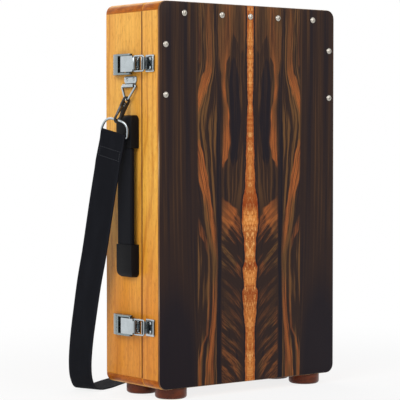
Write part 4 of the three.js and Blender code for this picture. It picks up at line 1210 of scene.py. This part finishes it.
class CAJON_OT_materials(bpy.types.Operator):
    """Node groups and materials that the pieces share"""
    bl_idname = "cajon.materials"
    bl_label = "Materials"

    def execute(self, context):
        scene = context.scene
        wood, metal, plastic = scene.cajon_wood, scene.cajon_metal, scene.cajon_plastic
        for build in (grain_group, band_group, flow_group, wear_group, brush_group, weave_group):
            build()
        board_material("lacquered_side_board", wood.pale, wood.dark, wood.warm)
        end_grain_material(wood)
        board_material(
            "raw_batten", wood.raw, wood.dark, wood.pale, upright=False, lines=60, strength=0.35, base=0.6,
            coat=0.0)
        board_material(
            "stained_foot", wood.foot, lightened(wood.foot, 0.35), lightened(wood.foot, 2.4), upright=False,
            lines=120, pores=0.4, base=0.28, coat=0.15)
        ply_material(wood)
        veneer_material(scene.cajon_veneer)
        metal_material("plated_steel", metal.plate, base=0.1, lines=0.08, dull=0.75)
        metal_material("lever_steel", metal.lever, base=0.2, lines=0.12, dull=0.75)
        metal_material("satin_steel", metal.steel, base=0.26, lines=0.2)
        metal_material("dark_nickel", metal.nickel, base=0.22, lines=0.1)
        metal_material("screw_steel", metal.screw, base=0.16, lines=0.08)
        metal_material("black_metal", metal.black, base=0.34, lines=0.08, metallic=0.0, coat=0.06)
        snare_material(metal.wire)
        plastic_material("moulded_plastic", plastic.moulded, base=0.42, pebble=1500)
        plastic_material("grip_rubber", plastic.grip, base=0.5, pebble=900)
        webbing_material(scene.cajon_strap)
        thread_material(scene.cajon_strap.thread)
        return {"FINISHED"}


class CAJON_OT_case(bpy.types.Operator):
    """Boards, battens and back panel of both shells"""
    bl_idname = "cajon.case"
    bl_label = "Case"

    def execute(self, context):
        for side in ("front_left", "front_right", "rear_left", "rear_right"):
            refined(side + "_side", "lacquered_side_board", bevel=0.0008, segments=3, smooth=32)
        for node in ("front_top_rail", "front_bottom_rail", "rear_top_board", "rear_bottom_board"):
            refined(node, "lacquered_cross_board", bevel=0.0005, smooth=32)
        for node in ("front_top_batten", "snare_batten"):
            refined(node, "raw_batten", bevel=0.0006)
        refined("back_panel", "birch_ply", bevel=0.0004, smooth=30)
        return {"FINISHED"}


class CAJON_OT_tapa(bpy.types.Operator):
    """Striking panel with its book-matched face and ply edge"""
    bl_idname = "cajon.tapa"
    bl_label = "Striking Panel"

    def execute(self, context):
        refined("tapa", "book_matched_veneer", bevel=0)
        return {"FINISHED"}


class CAJON_OT_feet(bpy.types.Operator):
    """Turned feet"""
    bl_idname = "cajon.feet"
    bl_label = "Feet"

    def execute(self, context):
        for corner in ("front_left", "front_right", "rear_left", "rear_right"):
            refined(corner + "_foot", "stained_foot", bevel=0.0008, segments=3, smooth=50)
        return {"FINISHED"}


class CAJON_OT_snare(bpy.types.Operator):
    """Snare plates and their coiled wires"""
    bl_idname = "cajon.snare"
    bl_label = "Snare"

    def execute(self, context):
        for side in ("left", "right"):
            refined(side + "_snare_wires", "coiled_snare_wire", bevel=0, smooth=50)
        return {"FINISHED"}


class CAJON_OT_tapa_screws(bpy.types.Operator):
    """Nine domed screws round the top of the striking panel"""
    bl_idname = "cajon.tapa_screws"
    bl_label = "Panel Screws"

    def execute(self, context):
        sunk, turn_between = 0.0002, 37
        model = domed_screw(
            radius=0.00425, rise=0.0022, recess=0.0019, shank_radius=0.00175, shank_length=0.02)
        for number in range(1, 10):
            node = f"tapa_screw_{number}"
            low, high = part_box(node)
            place = Vector(((low.x + high.x) / 2, CASE_FRONT - sunk, (low.z + high.z) / 2))
            turned = placed(place, (0, -1, 0), math.radians(turn_between * number))
            screw = copies(
                model, [turned], node + "_finished", "screw_steel", "front_shell")
            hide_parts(node)
        bpy.data.objects.remove(model)
        return {"FINISHED"}


class CAJON_OT_hinges(bpy.types.Operator):
    """Butt hinges and their screws on the right wall"""
    bl_idname = "cajon.hinges"
    bl_label = "Hinges"

    def execute(self, context):
        model = domed_screw(radius=0.0026, rise=0.001, recess=0.0012)
        for prefix, height in LATCH_HEIGHTS:
            for part in ("front_leaf", "rear_leaf", "pin"):
                refined(f"{prefix}_hinge_{part}", "satin_steel", bevel=0.0002)
            wall = on_right(1000 * FRONT_SHELL_DEPTH, height)
            for leaf, side in (("front", 1), ("rear", -1)):
                name = f"{prefix}_hinge_{leaf}"
                places = [
                    placed(wall(side * x, HINGE_PLATE, z), (1, 0, 0), 0.4 * z) for x, z in HINGE_SCREWS]
                copies(
                    model, places, name + "_screws", "satin_steel", body_of(name + "_leaf"))
        bpy.data.objects.remove(model)
        return {"FINISHED"}


class CAJON_OT_latches(bpy.types.Operator):
    """Over-centre draw latches: keepers, bases, levers, links and wire loops"""
    bl_idname = "cajon.latches"
    bl_label = "Latches"

    def execute(self, context):
        model = domed_screw(radius=0.0021, rise=0.0009, recess=0.001)
        forward = LOOP_END - LOOP_BACK
        corners = [
            (side * LOOP_HALF_WIDTH, reach, LOOP_BEND)
            for side, reach in ((-1, 0), (1, 0), (1, forward.length), (-1, forward.length))]
        loop = bent_loop(corners, LOOP_BACK, Vector((0, 0, 1)), forward.normalized())
        for prefix, height in LATCH_HEIGHTS:
            for part in ("keeper", "base", "lever", "link"):
                # The levers take the darkened copy of the plated steel, as painted shade
                metal = "lever_steel" if part == "lever" else "plated_steel"
                refined(f"{prefix}_latch_{part}", metal, bevel=0.00025)
            wall = on_left(0, height)
            points = [wall(*point) for point in loop]
            wire(f"{prefix}_latch_loop", points, LOOP_WIRE / 1000)
            for part, body, spots in LATCH_SCREWS:
                places = [placed(wall(x, LATCH_PLATE, z), (-1, 0, 0), z) for x, z in spots]
                copies(model, places, f"{prefix}_{part}_screws", "plated_steel", body)
        bpy.data.objects.remove(model)
        return {"FINISHED"}


class CAJON_OT_handle(bpy.types.Operator):
    """Carrying handle: end caps and grip"""
    bl_idname = "cajon.handle"
    bl_label = "Handle"

    def execute(self, context):
        for part, plastic, bevel in (
                ("upper_cap", "moulded_plastic", 0.0012), ("lower_cap", "moulded_plastic", 0.0012),
                ("grip", "grip_rubber", 0.0006)):
            refined("handle_" + part, plastic, bevel, segments=3, smooth=45)
        return {"FINISHED"}


class CAJON_OT_rings(bpy.types.Operator):
    """Clips, triangular rings, snap hooks and D-rings at both ends of the strap"""
    bl_idname = "cajon.rings"
    bl_label = "Strap Hardware"

    def execute(self, context):
        screw = domed_screw(radius=0.0023, rise=0.0009, recess=0.0011)
        rivet = domed_screw(radius=0.0011, rise=0.0006, recess=0.0003)
        hang = Vector((0, math.sin(CLIP_RING_LEAN), -math.cos(CLIP_RING_LEAN)))
        triangle = bent_loop(CLIP_RING_CORNERS, CLIP_RING_TOP, Vector((1, 0, 0)), hang)
        anchors = (
            ("side", on_left(*SIDE_ANCHOR), SIDE_RING_AXES, (-1, 0, 0)),
            ("rear", on_back(*REAR_ANCHOR), REAR_RING_AXES, (0, 1, 0)))
        for prefix, wall, axes, outwards in anchors:
            refined(f"{prefix}_strap_clip", "plated_steel", bevel=0.0002)
            refined(f"{prefix}_snap_hook", "black_metal", bevel=0.0004, segments=3, smooth=45)
            refined(f"{prefix}_hook_gate", "dark_nickel", smooth=45)
            d_ring = bent_loop(D_RING_CORNERS, D_RING_TOP, *axes)
            wire(f"{prefix}_clip_ring", [wall(*point) for point in triangle], CLIP_RING_WIRE / 1000)
            wire(f"{prefix}_d_ring", [wall(*point) for point in d_ring], D_RING_WIRE / 1000)
            pair = [placed(wall(x, CLIP_PLATE, 0), outwards, x) for x in CLIP_SCREWS]
            copies(screw, pair, f"{prefix}_clip_screws", "plated_steel", "rear_shell")
            places = []
            for side in (-1, 1):
                for drop in HOOK_RIVETS:
                    centre = RING_APEX - HOOK_UP * drop + Vector((HOOK_HALF_THICKNESS * side, 0, 0))
                    places.append(placed(wall(*centre), wall(side, 0, 0) - wall(0, 0, 0), drop))
            copies(rivet, places, f"{prefix}_hook_rivets", "plated_steel", "rear_shell")
        bpy.data.objects.remove(screw)
        bpy.data.objects.remove(rivet)
        return {"FINISHED"}


class CAJON_OT_strap(bpy.types.Operator):
    """Carrying strap of flat webbing, folded and sewn round both D-rings"""
    bl_idname = "cajon.strap"
    bl_label = "Strap"

    def execute(self, context):
        looks = context.scene.cajon_strap
        frames = smooth_route(looks.steps)
        backwards = frames[::-1]
        first = fold_round(on_left(*SIDE_ANCHOR), SIDE_RING_AXES, frames, looks)
        last = fold_round(on_back(*REAR_ANCHOR), REAR_RING_AXES, backwards, looks)
        between = frames[after_fold(frames, looks):len(frames) - after_fold(backwards, looks)]
        name = "shoulder_strap_webbing"
        strap = new_piece(name, webbing_mesh(name, first + between + last[::-1], looks))
        with editing():
            bpy.ops.mesh.normals_make_consistent(inside=False)
        smoothed(50)
        settle(strap, name, "black_webbing", "rear_shell")
        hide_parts("shoulder_strap")
        sewn = [sew("side", frames, looks), sew("rear", backwards, looks)]
        total = distances(frames)[-1]
        return {"FINISHED"}


class CAJON_PT_panel(bpy.types.Panel):
    """Sizes, colours and steps of the folding cajon"""
    bl_idname = "CAJON_PT_panel"
    bl_label = "Folding Cajon"
    bl_space_type = "VIEW_3D"
    bl_region_type = "UI"
    bl_category = "Cajon"

    def draw(self, context):
        for name, group in GROUPS:
            box = self.layout.box()
            for key in group.__annotations__:
                box.prop(getattr(context.scene, name), key)
        for operator in OPERATORS:
            self.layout.operator(operator.bl_idname)


GROUPS = [
    ("cajon_wood", CajonWood), ("cajon_veneer", CajonVeneer), ("cajon_metal", CajonMetal),
    ("cajon_strap", CajonStrap), ("cajon_plastic", CajonPlastic), ("cajon_stage", CajonStage),
]
OPERATORS = [
    CAJON_OT_stage, CAJON_OT_materials, CAJON_OT_strap, CAJON_OT_case, CAJON_OT_tapa, CAJON_OT_feet,
    CAJON_OT_snare, CAJON_OT_tapa_screws, CAJON_OT_hinges, CAJON_OT_latches, CAJON_OT_handle, CAJON_OT_rings,
]


def register():
    for name, group in GROUPS:
        bpy.utils.register_class(group)
        setattr(bpy.types.Scene, name, PointerProperty(type=group))
    for operator in OPERATORS:
        bpy.utils.register_class(operator)
    bpy.utils.register_class(CAJON_PT_panel)


def unregister():
    bpy.utils.unregister_class(CAJON_PT_panel)
    for operator in reversed(OPERATORS):
        bpy.utils.unregister_class(operator)
    for name, group in reversed(GROUPS):
        delattr(bpy.types.Scene, name)
        bpy.utils.unregister_class(group)


def main():
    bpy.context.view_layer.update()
    register()
    bpy.ops.cajon.stage()
    bpy.ops.cajon.materials()
    bpy.ops.cajon.strap()
    bpy.ops.cajon.case()
    bpy.ops.cajon.tapa()
    bpy.ops.cajon.feet()
    bpy.ops.cajon.snare()
    bpy.ops.cajon.tapa_screws()
    bpy.ops.cajon.hinges()
    bpy.ops.cajon.latches()
    bpy.ops.cajon.handle()
    bpy.ops.cajon.rings()


if __name__ == "__main__":
    main()
